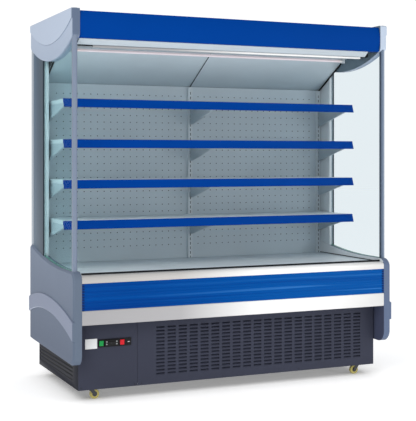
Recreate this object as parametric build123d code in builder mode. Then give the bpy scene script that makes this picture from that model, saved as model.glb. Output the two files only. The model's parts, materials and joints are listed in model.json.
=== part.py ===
from build123d import *
import os
from math import cos, radians, sin

os.makedirs("parts", exist_ok=True)

# Open multideck display fridge, self-contained, on four swivel castors.
# Millimetres. +X to the right, +Y to the back, +Z up. The origin is on the floor at the
# middle of the body, so the shopper stands on the -Y side.

# ---------------------------------------------------------------- body
overall_width = 1872.0  # over the end panels, without their raised band
overall_height = 2000.0  # floor to the top of the caps
overall_depth = 870.0  # bumper to back wall
end_thickness = 46.0  # end panels and top caps
sheet = 2.0  # folded steel of the plinth and trims
pan_sheet = 1.5  # shelves, deck pans and air panels
running_gap = 0.3  # between a turning or sliding piece and its seat

half_width = overall_width / 2
front_y = -overall_depth / 2
back_y = overall_depth / 2
inner_x = half_width - end_thickness

# ---------------------------------------------------------------- end panels
panel_bottom = 210.0  # at the back
panel_front_bottom = 197.0
panel_front_top = 670.0
panel_back_top = 757.0
panel_level_run = 185.0  # level length of the top edge behind the front corner
panel_toe_radius = 60.0
panel_nose_radius = 45.0
panel_heel_radius = 14.0
panel_shoulder_radius = 25.0
panel_edge = 10.0  # bevel round the outer face
band_height = 80.0  # raised band that sweeps across the panel, at its crest
band_relief = 6.0
band_crest_y = 100.0
band_crest_z = 502.0
band_front_drop = 82.0
band_back_drop = 49.0
band_front_spread = 16.0  # the band widens towards the front and the back
band_back_spread = 5.0
band_edge = 2.5

# ---------------------------------------------------------------- top caps
cap_set_back = 36.0  # front of the cap behind the bumper's front
cap_front_drop = 141.0
cap_mid_drop = 235.0
cap_back_drop = 136.0
cap_low_y = 12.0
cap_corner_radius = 30.0
cap_top_radius = 10.0
cap_relief = 5.0  # upper field of the cap stands proud of the lower one
cap_field_front_drop = 54.0
cap_field_mid_drop = 151.0
cap_field_back_drop = 38.0
cap_edge = 4.0

cap_front_y = front_y + cap_set_back

# ---------------------------------------------------------------- front posts, rear columns, side glass
post_width = 24.0
post_depth = 24.0
post_corner = 6.0
post_slot_depth = 8.0
glass_thickness = 12.0
glass_slot_clearance = 0.2
column_depth = 259.0
column_thickness = 34.0
column_clearance = 2.0
column_trim_width = 45.0
column_groove = 3.0

side_x = half_width - end_thickness / 2  # middle plane of the posts and the glass
post_y = cap_front_y + 4.0
column_x = inner_x + column_clearance + column_thickness / 2
column_front_y = back_y - column_depth

# ---------------------------------------------------------------- plinth and base
ground_clearance = 57.0
plinth_top = 404.0
plinth_inset = 55.0  # side of the plinth inside the end panel's face
plinth_set_back = 96.0  # front of the plinth behind the bumper's front
seam_from_side = 320.0  # width of the control panel
seam_gap = 1.0
plinth_return = 12.0  # folded edge of the plinth panels

plinth_x = half_width - plinth_inset
plinth_y = front_y + plinth_set_back
seam_x = -plinth_x + seam_from_side

# Louvred front grille
louvre_columns = 20
louvre_rows = 14
louvre_width = 46.0
louvre_height = 9.0
louvre_pitch_x = 63.3
louvre_pitch_z = 18.7
louvre_offset_x = 8.0
louvre_centre_z = 231.5
louvre_blade = 1.2
louvre_reach = 6.5  # how far a blade leans into the machine bay
louvre_rise = 6.0

# Long slots in the sides of the plinth
side_slot_count = 4
side_slot_length = 655.0
side_slot_height = 9.0
side_slot_pitch = 20.0
side_slot_bottom = 92.0
side_slot_back_margin = 18.0

# Base frame
base_bottom = 72.0
base_height = 28.0
rail_width = 100.0
rail_wall = 3.0
socket_width = 22.0
base_top = base_bottom + base_height + sheet

# Rear cover of the machine bay
rear_cover_inset = 15.0
rear_slot_columns = 8
rear_slot_rows = 3
rear_slot_width = 120.0
rear_slot_height = 10.0
rear_slot_pitch_x = 160.0
rear_slot_pitch_z = 40.0
rear_slot_centre_z = 250.0
rear_cover_y = back_y - rear_cover_inset

# Cable gland in the rear cover
gland_x = -780.0
gland_z = 160.0
gland_bore_radius = 5.0
gland_thread_radius = 8.0
gland_head_radius = 12.0
gland_head_length = 12.0
gland_nut_length = 6.0
gland_clearance = 0.1

# ---------------------------------------------------------------- castors
wheel_radius = 25.0
wheel_width = 20.0
axle_radius = 4.0
axle_clearance = 0.06
castor_trail = 25.0
castor_gap = 0.3  # between a fork and the boss above it
fork_sheet = 2.5
fork_half_width = 10.0
fork_side_gap = 1.25
fork_top = 62.5
fork_toe_radius = 9.0
stem_radius = 5.5
stem_clearance = 0.06
stem_length = 34.0
castor_x = 805.0
castor_front_y = plinth_y + sheet + rail_width / 2
castor_rear_y = rear_cover_y - sheet - rail_width / 2

# ---------------------------------------------------------------- insulated tub, back and roof
tub_set_back = 25.0  # tub's front wall behind the bumper's front
tub_wall = 30.0
tub_floor = 50.0
tub_rim = 606.0
back_thickness = 60.0
roof_thickness = 50.0
roof_drop = 14.0  # roof's top below the caps
roof_front_inset = 29.0

tub_y = front_y + tub_set_back
tub_inside_y = tub_y + tub_wall
tub_floor_top = plinth_top + tub_floor
back_inside_y = back_y - back_thickness
roof_top = overall_height - roof_drop
roof_bottom = roof_top - roof_thickness
roof_front_y = cap_front_y + roof_front_inset

# ---------------------------------------------------------------- bumper and front trims
bumper_bottom = 476.0
bumper_top = 613.0
bumper_ribs = 10
bumper_rib_height = 1.6
bumper_wall = 3.0
rail_top = 652.0
rail_nose_radius = 20.0
rail_back_radius = 4.0
rail_depth = 50.0

# ---------------------------------------------------------------- deck and return air
deck_top = 650.0
deck_lip = 18.0
deck_gap = 1.0
pans = 3
return_depth = 60.0
return_plate = 4.0
return_slots = 24
return_slot_length = 42.0
return_slot_width = 58.0

rail_back_y = front_y + rail_depth
return_y0 = rail_back_y + sheet / 2
return_y1 = return_y0 + return_depth
deck_y0 = return_y1 + deck_gap

# ---------------------------------------------------------------- back panels, uprights and shelves
air_duct_depth = 78.0  # between the back panels and the insulated back
upright_width = 28.0
upright_depth = 14.0
upright_x = 875.0
upright_wall = 2.0
upright_drop = 3.0  # top of an upright below the foot of the duct panel
slot_width = 4.0
slot_height = 16.0
slot_pitch = 54.2
slots_per_step = 4  # slots from one shelf to the next
slots_below = 4  # slots under the lowest shelf's first hook

shelf_lowest_top = 909.0
shelf_reach = 391.0  # front edge of a shelf ahead of the back panels
top_bay_least = 90.0  # from the highest shelf to the foot of the duct panel
shelf_flange = 22.0
shelf_gap = 1.5
bracket_thickness = 2.5
bracket_height = 95.0
bracket_nose = 11.0
bracket_foot = 20.0
bracket_set_back = 8.0  # front end of a bracket behind the shelf's front edge
bracket_lip = 10.0  # folded along the sloping edge
hook_depth = 7.0
hook_height = 11.0
hook_below_top = 40.0
hooks = 2

back_panel_y = back_inside_y - air_duct_depth
upright_front_y = back_panel_y - upright_depth
shelf_back_y = upright_front_y - 2 * running_gap
shelf_front_y = back_panel_y - shelf_reach
bracket_front_y = shelf_front_y + bracket_set_back

strip_height = 46.0
strip_lean = 15.0  # bottom edge ahead of the top edge
strip_wall = 3.0
strip_top_depth = 4.0
strip_lip = 1.5

# ---------------------------------------------------------------- canopy
fascia_sheet = 3.0
fascia_drop = 148.0  # bottom edge of the fascia below the top of the caps
fascia_set_back = 52.0
fascia_bulge = 12.0
fascia_top_return = 43.0
fascia_bottom_return = 36.0

lamp_box_left = 888.0  # from the middle of the cabinet
lamp_box_right = 822.0
lamp_box_drop = 29.0
lamp_box_front = 4.0  # behind the fascia's edge
lamp_box_lean = 40.0
lamp_box_back = 51.0

ceiling_drop = 162.0  # ceiling of the bay below the top of the caps
ceiling_set_back = 199.0  # front edge of the ceiling behind the front of the caps
ceiling_bend_reach = 310.0  # bend into the slanted duct panel, ahead of the back panels
duct_foot_drop = 333.0  # foot of the duct panel below the top of the caps

batten_left = 878.0  # from the middle of the cabinet
batten_right = 778.0
batten_width = 44.0
batten_height = 16.0
batten_set_back = 17.0  # middle of the batten behind the ceiling's front edge
tube_radius = 8.0
tube_drop = 29.0  # middle of the tube under the ceiling
tube_socket = 12.0
tube_socket_width = 24.0
tube_socket_drop = 12.0  # below the tube's middle

honeycomb_height = 18.0
honeycomb_cells = 24
honeycomb_wall = 6.0

fascia_bottom = overall_height - fascia_drop
ceiling_z = overall_height - ceiling_drop
ceiling_front_y = cap_front_y + ceiling_set_back
ceiling_bend_y = back_panel_y - ceiling_bend_reach
duct_foot_z = overall_height - duct_foot_drop
batten_y = ceiling_front_y + batten_set_back
tube_z = ceiling_z - tube_drop

# What stands in the height that the duct panel leaves
upright_top = duct_foot_z - upright_drop
first_slot_z = shelf_lowest_top - hook_below_top
slots_above = int((upright_top - slot_height - first_slot_z) // slot_pitch)
shelf_step = slots_per_step * slot_pitch
shelf_count = 1 + int((duct_foot_z - top_bay_least - shelf_lowest_top) // shelf_step)
shelf_tops = [shelf_lowest_top + n * shelf_step for n in range(shelf_count)]

# ---------------------------------------------------------------- night curtain
curtain_set_back = 76.0  # plane in which the cloth hangs, behind the front of the caps
curtain_half = 800.0
cloth = 1.0
roll_radius = 22.7
roller_drop = 120.0  # axis of the roller below the top of the caps
roller_pin_radius = 4.0
roller_pin_length = 14.0
pin_clearance = 0.06
cassette_wall = 2.0
cassette_clearance = 5.0
cassette_end = 10.0
bar_drop = 30.0  # top of the raised bar below the fascia
bar_height = 11.0
bar_depth = 13.0
bar_radius = 2.0

curtain_y = cap_front_y + curtain_set_back
roller_z = overall_height - roller_drop
bar_top = fascia_bottom - bar_drop
roller_y = curtain_y + cloth / 2 + running_gap + roll_radius
cassette_y0 = roller_y - roll_radius - cassette_clearance
cassette_y1 = roller_y + roll_radius + cassette_clearance
cassette_top = roller_z + roll_radius + cassette_clearance
cassette_bottom = fascia_bottom

# ---------------------------------------------------------------- control strip
bezel_width = 180.0
bezel_height = 40.0
bezel_plate = 4.0
bezel_x = -687.0
bezel_z = 292.0
bezel_lap = 4.0  # overlap of the bezel on the panel around its cut-out
rocker_width = 22.0
rocker_height = 26.0
rocker_gap_x = 0.3
rocker_gap_z = 1.3
rocker_wall = 2.0
rocker_proud = 3.5
rocker_dish = 2.5
rocker_housing = 14.0
rocker_tilt = 7.0
rocker_pivot_depth = 3.0
rocker_back = 6.0
rocker_pin_radius = 1.5
rocker_pin_reach = 1.2
rocker_pin_clearance = 0.08
green_x = -759.5
red_x = -647.0
controller_x = -705.0
controller_width = 77.0
controller_height = 35.0
controller_face = 5.0
controller_body_width = 71.0
controller_body_height = 29.0
controller_body_depth = 55.0
controller_clearance = 0.3

# ---------------------------------------------------------------- condensing unit in the base
condenser_x0 = -430.0
condenser_length = 600.0
condenser_depth = 70.0
condenser_height = 260.0
condenser_front_gap = 16.0
condenser_fins = 14
fin_wall = 3.0
coil_plate = 3.0
shroud_depth = 40.0
condenser_fan_radius = 90.0
fan_tip_gap = 5.0
fan_hub_radius = 22.0
fan_hub_length = 24.0
fan_blades = 5
fan_blade_width = 34.0
fan_blade_thickness = 2.0
fan_blade_pitch = 28.0
fan_tip_angle = 13.0  # from a blade's middle line to its tip's corner
fan_shaft_radius = 3.0
fan_shaft_clearance = 0.06
fan_shaft_reach = 10.0
motor_width = 58.0
motor_length = 44.0
motor_gap = 8.0  # from the fan plate to the motor's bar
motor_bar = 14.0
motor_bar_sheet = 3.0
motor_bar_lap = 12.0

compressor_x = 520.0
compressor_y = 80.0
compressor_radius = 85.0
compressor_height = 190.0
compressor_dome = 45.0
compressor_foot_length = 210.0
compressor_foot_width = 130.0
compressor_foot_sheet = 4.0
compressor_grommet_x = 85.0
compressor_grommet_y = 50.0
grommet_width = 22.0
grommet_height = 10.0

# ---------------------------------------------------------------- evaporator in the tub
evaporator_half = 780.0
evaporator_y0 = 60.0
evaporator_depth = 180.0
evaporator_height = 120.0
evaporator_foot = 12.0
evaporator_fins = 14
fan_plate_y = -60.0
evaporator_fan_radius = 70.0
evaporator_fan_x = 440.0

# ---------------------------------------------------------------- refrigerant pipes
discharge_radius = 5.0
liquid_radius = 5.0
suction_radius = 8.0
pipe_clearance = 1.0
suction_x = 830.0
suction_z = 540.0
discharge_x = 300.0
discharge_z = 250.0
liquid_x = 250.0
liquid_y = 20.0
liquid_low_z = 150.0
liquid_high_z = 500.0


def keep(builder, label):
    """Label a finished piece and write it to its own STEP file."""
    builder.part.label = label
    export_step(builder.part, f"parts/{label}.step")


def box_between(x0, x1, y0, y1, z0, z1, mode=Mode.ADD):
    """Box between two corners, in the part being built."""
    with Locations(((x0 + x1) / 2, (y0 + y1) / 2, (z0 + z1) / 2)):
        Box(x1 - x0, y1 - y0, z1 - z0, mode=mode)


def bar_along_x(points, x0, x1, mode=Mode.ADD):
    """Extrude a closed outline of (Y, Z) points from x0 to x1."""
    with BuildSketch(Plane.YZ.offset(x0)) as section:
        with BuildLine():
            Polyline(*points, close=True)
        make_face()
    extrude(section.sketch, amount=x1 - x0, mode=mode)


def folded_sheet(points, radii, thickness, x0, x1):
    """Sheet folded along X: (Y, Z) points on its middle line, and a radius for each fold."""
    with BuildSketch(Plane.YZ.offset(x0)) as section:
        with BuildLine():
            FilletPolyline(*points, radius=radii)
        trace(line_width=thickness)
    extrude(section.sketch, amount=x1 - x0)


def rod_along_y(x, z, y0, y1, radius, mode=Mode.ADD):
    """Round bar or hole along Y."""
    with BuildSketch(Plane.XZ.offset(-y0)) as section:
        with Locations((x, z)):
            Circle(radius)
    extrude(section.sketch, amount=y0 - y1, mode=mode)


def rod_along_z(x, y, z0, z1, radius, mode=Mode.ADD):
    """Round bar or hole along Z."""
    with BuildSketch(Plane.XY.offset(z0)) as section:
        with Locations((x, y)):
            Circle(radius)
    extrude(section.sketch, amount=z1 - z0, mode=mode)


# ---------------------------------------------------------------- side outlines, in (Y, Z)
cap_top_z = overall_height
with BuildSketch() as cap_side:
    with BuildLine():
        Polyline(
            (cap_front_y, cap_top_z - cap_front_drop),
            (cap_front_y, cap_top_z),
            (back_y, cap_top_z),
            (back_y, cap_top_z - cap_back_drop),
        )
        ThreePointArc(
            (back_y, cap_top_z - cap_back_drop),
            (cap_low_y, cap_top_z - cap_mid_drop),
            (cap_front_y, cap_top_z - cap_front_drop),
        )
    make_face()
    fillet(cap_side.vertices().group_by(Axis.Y)[-1], radius=cap_top_radius)
    fillet(cap_side.vertices().filter_by(lambda v: v.Y < cap_top_z - cap_top_radius - 1), radius=cap_corner_radius)

with BuildSketch() as cap_field:
    with BuildLine():
        Polyline(
            (cap_front_y, cap_top_z - cap_field_front_drop),
            (cap_front_y, cap_top_z),
            (back_y, cap_top_z),
            (back_y, cap_top_z - cap_field_back_drop),
        )
        ThreePointArc(
            (back_y, cap_top_z - cap_field_back_drop),
            (0, cap_top_z - cap_field_mid_drop),
            (cap_front_y, cap_top_z - cap_field_front_drop),
        )
    make_face()
    fillet(cap_field.vertices().group_by(Axis.Y)[-1], radius=cap_top_radius)

level_end_y = front_y + panel_level_run
with BuildSketch() as panel_side:
    with BuildLine():
        Polyline(
            (level_end_y, panel_front_top),
            (front_y, panel_front_top),
            (front_y, panel_front_bottom),
            (back_y, panel_bottom),
            (back_y, panel_back_top),
        )
        TangentArc((level_end_y, panel_front_top), (back_y, panel_back_top), tangent=(1, 0))
    make_face()
    for corner, radius in (
        ((front_y, panel_front_top), panel_nose_radius),
        ((front_y, panel_front_bottom), panel_toe_radius),
        ((back_y, panel_bottom), panel_heel_radius),
        ((back_y, panel_back_top), panel_shoulder_radius),
    ):
        fillet(panel_side.vertices().sort_by_distance(corner)[0], radius=radius)

with BuildSketch() as band_side:
    crest = (band_crest_y, band_crest_z)
    trough = (band_crest_y, band_crest_z - band_height)
    upper_front = (front_y, crest[1] - band_front_drop)
    upper_back = (back_y, crest[1] - band_back_drop)
    lower_front = (front_y, trough[1] - band_front_drop - band_front_spread)
    lower_back = (back_y, trough[1] - band_back_drop - band_back_spread)
    with BuildLine():
        TangentArc(crest, upper_front, tangent=(-1, 0))
        Line(upper_front, lower_front)
        TangentArc(trough, lower_front, tangent=(-1, 0))
        TangentArc(trough, lower_back, tangent=(1, 0))
        Line(lower_back, upper_back)
        TangentArc(crest, upper_back, tangent=(1, 0))
    make_face()

# ---------------------------------------------------------------- end panels and top caps
for side, plane in (("right", None), ("left", Plane.YZ)):
    with BuildPart() as end_panel:
        with BuildSketch(Plane.YZ.offset(inner_x)):
            add(panel_side.sketch)
        extrude(amount=end_thickness)
        chamfer(end_panel.faces().sort_by(Axis.X)[-1].edges(), length=panel_edge)
        with BuildSketch(Plane.YZ.offset(half_width - panel_edge)):
            add(band_side.sketch)
        extrude(amount=panel_edge + band_relief)
        chamfer(end_panel.faces().sort_by(Axis.X)[-1].edges(), length=band_edge)
        if plane:
            mirror(about=plane, mode=Mode.REPLACE)
    keep(end_panel, f"end_panel_{side}")

    with BuildPart() as top_cap:
        with BuildSketch(Plane.YZ.offset(inner_x)):
            add(cap_side.sketch)
        extrude(amount=end_thickness - cap_relief)
        chamfer(top_cap.faces().sort_by(Axis.X)[-1].edges(), length=cap_edge)
        with BuildSketch(Plane.YZ.offset(inner_x)):
            add(cap_field.sketch)
        extrude(amount=end_thickness)
        chamfer(top_cap.faces().sort_by(Axis.X)[-1].edges(), length=cap_edge)
        if plane:
            mirror(about=plane, mode=Mode.REPLACE)
    keep(top_cap, f"top_cap_{side}")


# ---------------------------------------------------------------- front posts, rear columns, side glass
post_back_y = post_y + post_depth
post_slot_y = post_back_y - post_slot_depth
post_bottom = panel_bottom + panel_nose_radius
post_length = cap_top_z - post_bottom
slot_gap = glass_thickness + 2 * glass_slot_clearance
column_slot_y = column_front_y + post_slot_depth
groove_y = back_y - column_trim_width


def plan_rectangle(x, width, y0, y1, mode=Mode.ADD):
    """Rectangle in a plan sketch, from y0 to y1."""
    with Locations((x, (y0 + y1) / 2)):
        Rectangle(width, y1 - y0, mode=mode)


def trim_to_sides():
    """Cut away what the end panels and the top caps take up."""
    for outline in (panel_side, cap_side):
        with BuildSketch(Plane.YZ.offset(-half_width)) as section:
            add(outline.sketch)
        extrude(section.sketch, amount=2 * half_width, mode=Mode.SUBTRACT)


with BuildPart() as front_posts:
    for side in (-1, 1):
        with BuildSketch(Plane.XY.offset(post_bottom)) as post_plan:
            plan_rectangle(side * side_x, post_width, post_y, post_back_y)
            chamfer(post_plan.vertices().group_by(Axis.Y)[0], length=post_corner)
            plan_rectangle(side * side_x, slot_gap, post_slot_y, post_back_y, Mode.SUBTRACT)
        extrude(amount=post_length)
    trim_to_sides()
keep(front_posts, "front_posts")

with BuildPart() as rear_columns:
    for side in (-1, 1):
        outer_x = side * (column_x + column_thickness / 2)
        with BuildSketch(Plane.XY.offset(post_bottom)):
            plan_rectangle(side * column_x, column_thickness, column_front_y, back_y)
            plan_rectangle(side * side_x, slot_gap, column_front_y, column_slot_y, Mode.SUBTRACT)
            plan_rectangle(outer_x, 2 * column_groove, groove_y, groove_y + column_groove, Mode.SUBTRACT)
        extrude(amount=post_length)
    trim_to_sides()
keep(rear_columns, "rear_columns")

with BuildPart() as side_glass:
    for side in (-1, 1):
        with BuildSketch(Plane.XY.offset(post_bottom)):
            glass_y0 = post_slot_y + glass_slot_clearance
            glass_y1 = column_slot_y - glass_slot_clearance
            plan_rectangle(side * side_x, glass_thickness, glass_y0, glass_y1)
        extrude(amount=post_length)
    trim_to_sides()
keep(side_glass, "side_glass")

# ---------------------------------------------------------------- base frame
frame_x = plinth_x - sheet
frame_y0 = plinth_y + sheet
frame_y1 = rear_cover_y - sheet
frame_top = base_bottom + base_height
boss_bottom = fork_top + castor_gap
castor_places = [(side * castor_x, y) for y in (castor_front_y, castor_rear_y) for side in (-1, 1)]
with BuildPart() as base_frame:
    box_between(-frame_x, frame_x, frame_y0, frame_y1, base_bottom, frame_top)
    box_between(
        rail_width - frame_x,
        frame_x - rail_width,
        frame_y0 + rail_width,
        frame_y1 - rail_width,
        base_bottom,
        frame_top,
        Mode.SUBTRACT,
    )
    hollow_x = frame_x - rail_wall
    hollow_y0 = frame_y0 + rail_wall
    hollow_y1 = frame_y1 - rail_wall
    hollow_width = rail_width - 2 * rail_wall
    hollow_top = frame_top - rail_wall
    for y in (hollow_y0, hollow_y1 - hollow_width):
        box_between(-hollow_x, hollow_x, y, y + hollow_width, base_bottom, hollow_top, Mode.SUBTRACT)
    for x in (-hollow_x, hollow_x - hollow_width):
        box_between(x, x + hollow_width, hollow_y0, hollow_y1, base_bottom, hollow_top, Mode.SUBTRACT)
    box_between(-frame_x, frame_x, frame_y0, frame_y1, frame_top, base_top)
    for x, y in castor_places:
        half = socket_width / 2
        box_between(x - half, x + half, y - half, y + half, boss_bottom, base_top)
        rod_along_z(x, y, boss_bottom, base_top, stem_radius + stem_clearance, Mode.SUBTRACT)
keep(base_frame, "base_frame")

with BuildPart() as side_base_panels:
    for side in (-1, 1):
        x = side * (plinth_x - sheet / 2)
        box_between(x - sheet / 2, x + sheet / 2, frame_y0, back_y - sheet, ground_clearance, plinth_top)
        slot_y1 = back_y - side_slot_back_margin
        for n in range(side_slot_count):
            z = side_slot_bottom + n * side_slot_pitch
            slot_y0 = slot_y1 - side_slot_length
            box_between(x - sheet, x + sheet, slot_y0, slot_y1, z, z + side_slot_height, Mode.SUBTRACT)
keep(side_base_panels, "side_base_panels")


def plinth_panel(x0, x1):
    """Front panel of the plinth, folded back along its top and bottom edges."""
    box_between(x0, x1, plinth_y, plinth_y + sheet, ground_clearance, plinth_top)
    return_y = plinth_y + plinth_return
    for z in (ground_clearance, plinth_top - sheet):
        box_between(x0 + sheet, x1 - sheet, plinth_y, return_y, z, z + sheet)


# ---------------------------------------------------------------- louvred front grille
grille_x0 = seam_x + seam_gap / 2
louvre_x = (grille_x0 + plinth_x) / 2 + louvre_offset_x
first_louvre_z = louvre_centre_z - louvre_pitch_z * (louvre_rows - 1) / 2 - louvre_height / 2
blade_half = (louvre_pitch_x * (louvre_columns - 1) + louvre_width) / 2
blade_back = plinth_y + sheet
blade_tip = blade_back + louvre_reach
with BuildPart() as front_grille:
    plinth_panel(grille_x0, plinth_x)
    with BuildSketch(Plane.XZ.offset(-plinth_y)):
        with Locations((louvre_x, louvre_centre_z)):
            with GridLocations(louvre_pitch_x, louvre_pitch_z, louvre_columns, louvre_rows):
                Rectangle(louvre_width, louvre_height)
    extrude(amount=-sheet, mode=Mode.SUBTRACT)
    with BuildSketch(Plane.YZ.offset(louvre_x - blade_half)):
        for row in range(louvre_rows):
            z = first_louvre_z + row * louvre_pitch_z
            with BuildLine():
                Polyline(
                    (blade_back, z),
                    (blade_tip, z + louvre_rise),
                    (blade_tip, z + louvre_rise - louvre_blade),
                    (blade_back, z - 2 * louvre_blade),
                    close=True,
                )
            make_face()
    extrude(amount=2 * blade_half)
keep(front_grille, "front_grille")

# ---------------------------------------------------------------- control strip
bezel_y = plinth_y - bezel_plate
rocker_places = {"green": green_x, "red": red_x}
pivot_y = bezel_y + rocker_pivot_depth
hole_half_x = rocker_width / 2 + rocker_gap_x
hole_half_z = rocker_height / 2 + rocker_gap_z
with BuildPart() as control_panel:
    plinth_panel(-plinth_x, seam_x - seam_gap / 2)
    cut_x = bezel_width / 2 - bezel_lap
    cut_z = bezel_height / 2 - bezel_lap
    box_between(
        bezel_x - cut_x, bezel_x + cut_x, plinth_y, frame_y0, bezel_z - cut_z, bezel_z + cut_z, Mode.SUBTRACT
    )
keep(control_panel, "control_panel")

with BuildPart() as control_bezel:
    half_x = bezel_width / 2
    half_z = bezel_height / 2
    box_between(bezel_x - half_x, bezel_x + half_x, bezel_y, plinth_y, bezel_z - half_z, bezel_z + half_z)
    chamfer(control_bezel.faces().sort_by(Axis.Y)[0].edges(), length=1)
    for x in rocker_places.values():
        outer_x = hole_half_x + rocker_wall
        outer_z = hole_half_z + rocker_wall / 2
        housing_y = bezel_y + rocker_housing
        box_between(x - outer_x, x + outer_x, plinth_y, housing_y, bezel_z - outer_z, bezel_z + outer_z)
        box_between(
            x - hole_half_x, x + hole_half_x, bezel_y, housing_y, bezel_z - hole_half_z, bezel_z + hole_half_z, Mode.SUBTRACT
        )
        seat = rocker_pin_radius + rocker_pin_clearance
        box_between(
            x - outer_x, x + outer_x, pivot_y - seat, pivot_y + seat, bezel_z - seat, bezel_z + seat, Mode.SUBTRACT
        )
    fit_x = controller_body_width / 2 + controller_clearance
    fit_z = controller_body_height / 2 + controller_clearance
    box_between(
        controller_x - fit_x, controller_x + fit_x, bezel_y, plinth_y, bezel_z - fit_z, bezel_z + fit_z, Mode.SUBTRACT
    )
keep(control_bezel, "control_bezel")

with BuildPart() as temperature_controller:
    half_x = controller_width / 2
    half_z = controller_height / 2
    face_y = bezel_y - controller_face
    box_between(controller_x - half_x, controller_x + half_x, face_y, bezel_y, bezel_z - half_z, bezel_z + half_z)
    chamfer(temperature_controller.faces().sort_by(Axis.Y)[0].edges(), length=2)
    half_x = controller_body_width / 2
    half_z = controller_body_height / 2
    body_y = bezel_y + controller_body_depth
    box_between(controller_x - half_x, controller_x + half_x, bezel_y, body_y, bezel_z - half_z, bezel_z + half_z)
keep(temperature_controller, "temperature_controller")

turn = radians(rocker_tilt)
rocker_outline = [
    (-rocker_pivot_depth - rocker_proud, rocker_height / 2),
    (-rocker_pivot_depth - rocker_proud + rocker_dish, 0),
    (-rocker_pivot_depth - rocker_proud, -rocker_height / 2),
    (rocker_back, -rocker_height / 2),
    (rocker_back, rocker_height / 2),
]
rocker_tilted = [
    (pivot_y + y * cos(turn) - z * sin(turn), bezel_z + y * sin(turn) + z * cos(turn)) for y, z in rocker_outline
]
for colour, x in rocker_places.items():
    with BuildPart() as switch:
        bar_along_x(rocker_tilted, x - rocker_width / 2, x + rocker_width / 2)
        pin_x = rocker_width / 2 + rocker_pin_reach
        with BuildSketch(Plane.YZ.offset(x - pin_x)):
            with Locations((pivot_y, bezel_z)):
                Circle(rocker_pin_radius)
        extrude(amount=2 * pin_x)
    keep(switch, f"switch_{colour}")

# ---------------------------------------------------------------- rear cover and cable gland
gland_bore = gland_thread_radius + gland_clearance
with BuildPart() as rear_cover:
    box_between(-frame_x, frame_x, frame_y1, rear_cover_y, ground_clearance, plinth_top)
    with BuildSketch(Plane.XZ.offset(-frame_y1)):
        with Locations((0, rear_slot_centre_z)):
            with GridLocations(rear_slot_pitch_x, rear_slot_pitch_z, rear_slot_columns, rear_slot_rows):
                Rectangle(rear_slot_width, rear_slot_height)
        with Locations((gland_x, gland_z)):
            Circle(gland_bore)
    extrude(amount=-sheet, mode=Mode.SUBTRACT)
keep(rear_cover, "rear_cover")

with BuildPart() as cable_gland:
    gland_y0 = frame_y1 - gland_nut_length
    gland_y1 = rear_cover_y + gland_head_length
    rod_along_y(gland_x, gland_z, gland_y0, gland_y1, gland_thread_radius)
    for y0, y1 in ((gland_y0, frame_y1), (rear_cover_y, gland_y1)):
        with BuildSketch(Plane.XZ.offset(-y0)) as section:
            with Locations((gland_x, gland_z)):
                RegularPolygon(gland_head_radius, 6)
        extrude(section.sketch, amount=y0 - y1)
    rod_along_y(gland_x, gland_z, gland_y0, gland_y1, gland_bore_radius, Mode.SUBTRACT)
keep(cable_gland, "cable_gland")

# ---------------------------------------------------------------- castors
fork_inner_y = wheel_width / 2 + fork_side_gap
fork_outer_y = fork_inner_y + fork_sheet
for (end, y), (name, side) in [
    (row, column)
    for row in (("front", castor_front_y), ("rear", castor_rear_y))
    for column in (("left", -1), ("right", 1))
]:
    swivel_x = side * castor_x
    wheel_x = swivel_x - side * castor_trail
    with BuildPart() as castor_fork:
        plate_z = fork_top - fork_sheet
        box_between(swivel_x - fork_half_width, swivel_x + fork_half_width, y - fork_outer_y, y + fork_outer_y, plate_z, fork_top)
        rod_along_z(swivel_x, y, fork_top, fork_top + stem_length, stem_radius)
        for cheek_y in (y - fork_outer_y, y + fork_inner_y):
            with BuildSketch(Plane.XZ.offset(-cheek_y)):
                with Locations((wheel_x, wheel_radius)):
                    RegularPolygon(fork_toe_radius, 8)
                with Locations((swivel_x, plate_z)):
                    Rectangle(2 * fork_half_width, 2 * fork_sheet)
                make_hull()
            extrude(amount=-fork_sheet)
        rod_along_y(wheel_x, wheel_radius, y - fork_inner_y, y + fork_inner_y, axle_radius)
    keep(castor_fork, f"castor_fork_{end}_{name}")

    with BuildPart() as castor_wheel:
        rod_along_y(wheel_x, wheel_radius, y - wheel_width / 2, y + wheel_width / 2, wheel_radius)
        bore = axle_radius + axle_clearance
        rod_along_y(wheel_x, wheel_radius, y - wheel_width / 2, y + wheel_width / 2, bore, Mode.SUBTRACT)
    keep(castor_wheel, f"castor_wheel_{end}_{name}")

# ---------------------------------------------------------------- insulated tub, back and roof
with BuildPart() as insulated_tub:
    box_between(-inner_x, inner_x, tub_y, back_inside_y, plinth_top, tub_rim)
    tub_inside_x = inner_x - tub_wall
    box_between(
        -tub_inside_x, tub_inside_x, tub_inside_y, back_inside_y, tub_floor_top, tub_rim, Mode.SUBTRACT
    )
    rod_along_z(suction_x, compressor_y, plinth_top, tub_floor_top, suction_radius + pipe_clearance, Mode.SUBTRACT)
    rod_along_z(liquid_x, liquid_y, plinth_top, tub_floor_top, liquid_radius + pipe_clearance, Mode.SUBTRACT)
keep(insulated_tub, "insulated_tub")

with BuildPart() as insulated_back:
    box_between(-inner_x, inner_x, back_inside_y, back_y, plinth_top, roof_bottom)
keep(insulated_back, "insulated_back")

with BuildPart() as canopy_roof:
    box_between(-inner_x, inner_x, roof_front_y, back_y, roof_bottom, roof_top)
keep(canopy_roof, "canopy_roof")

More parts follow.
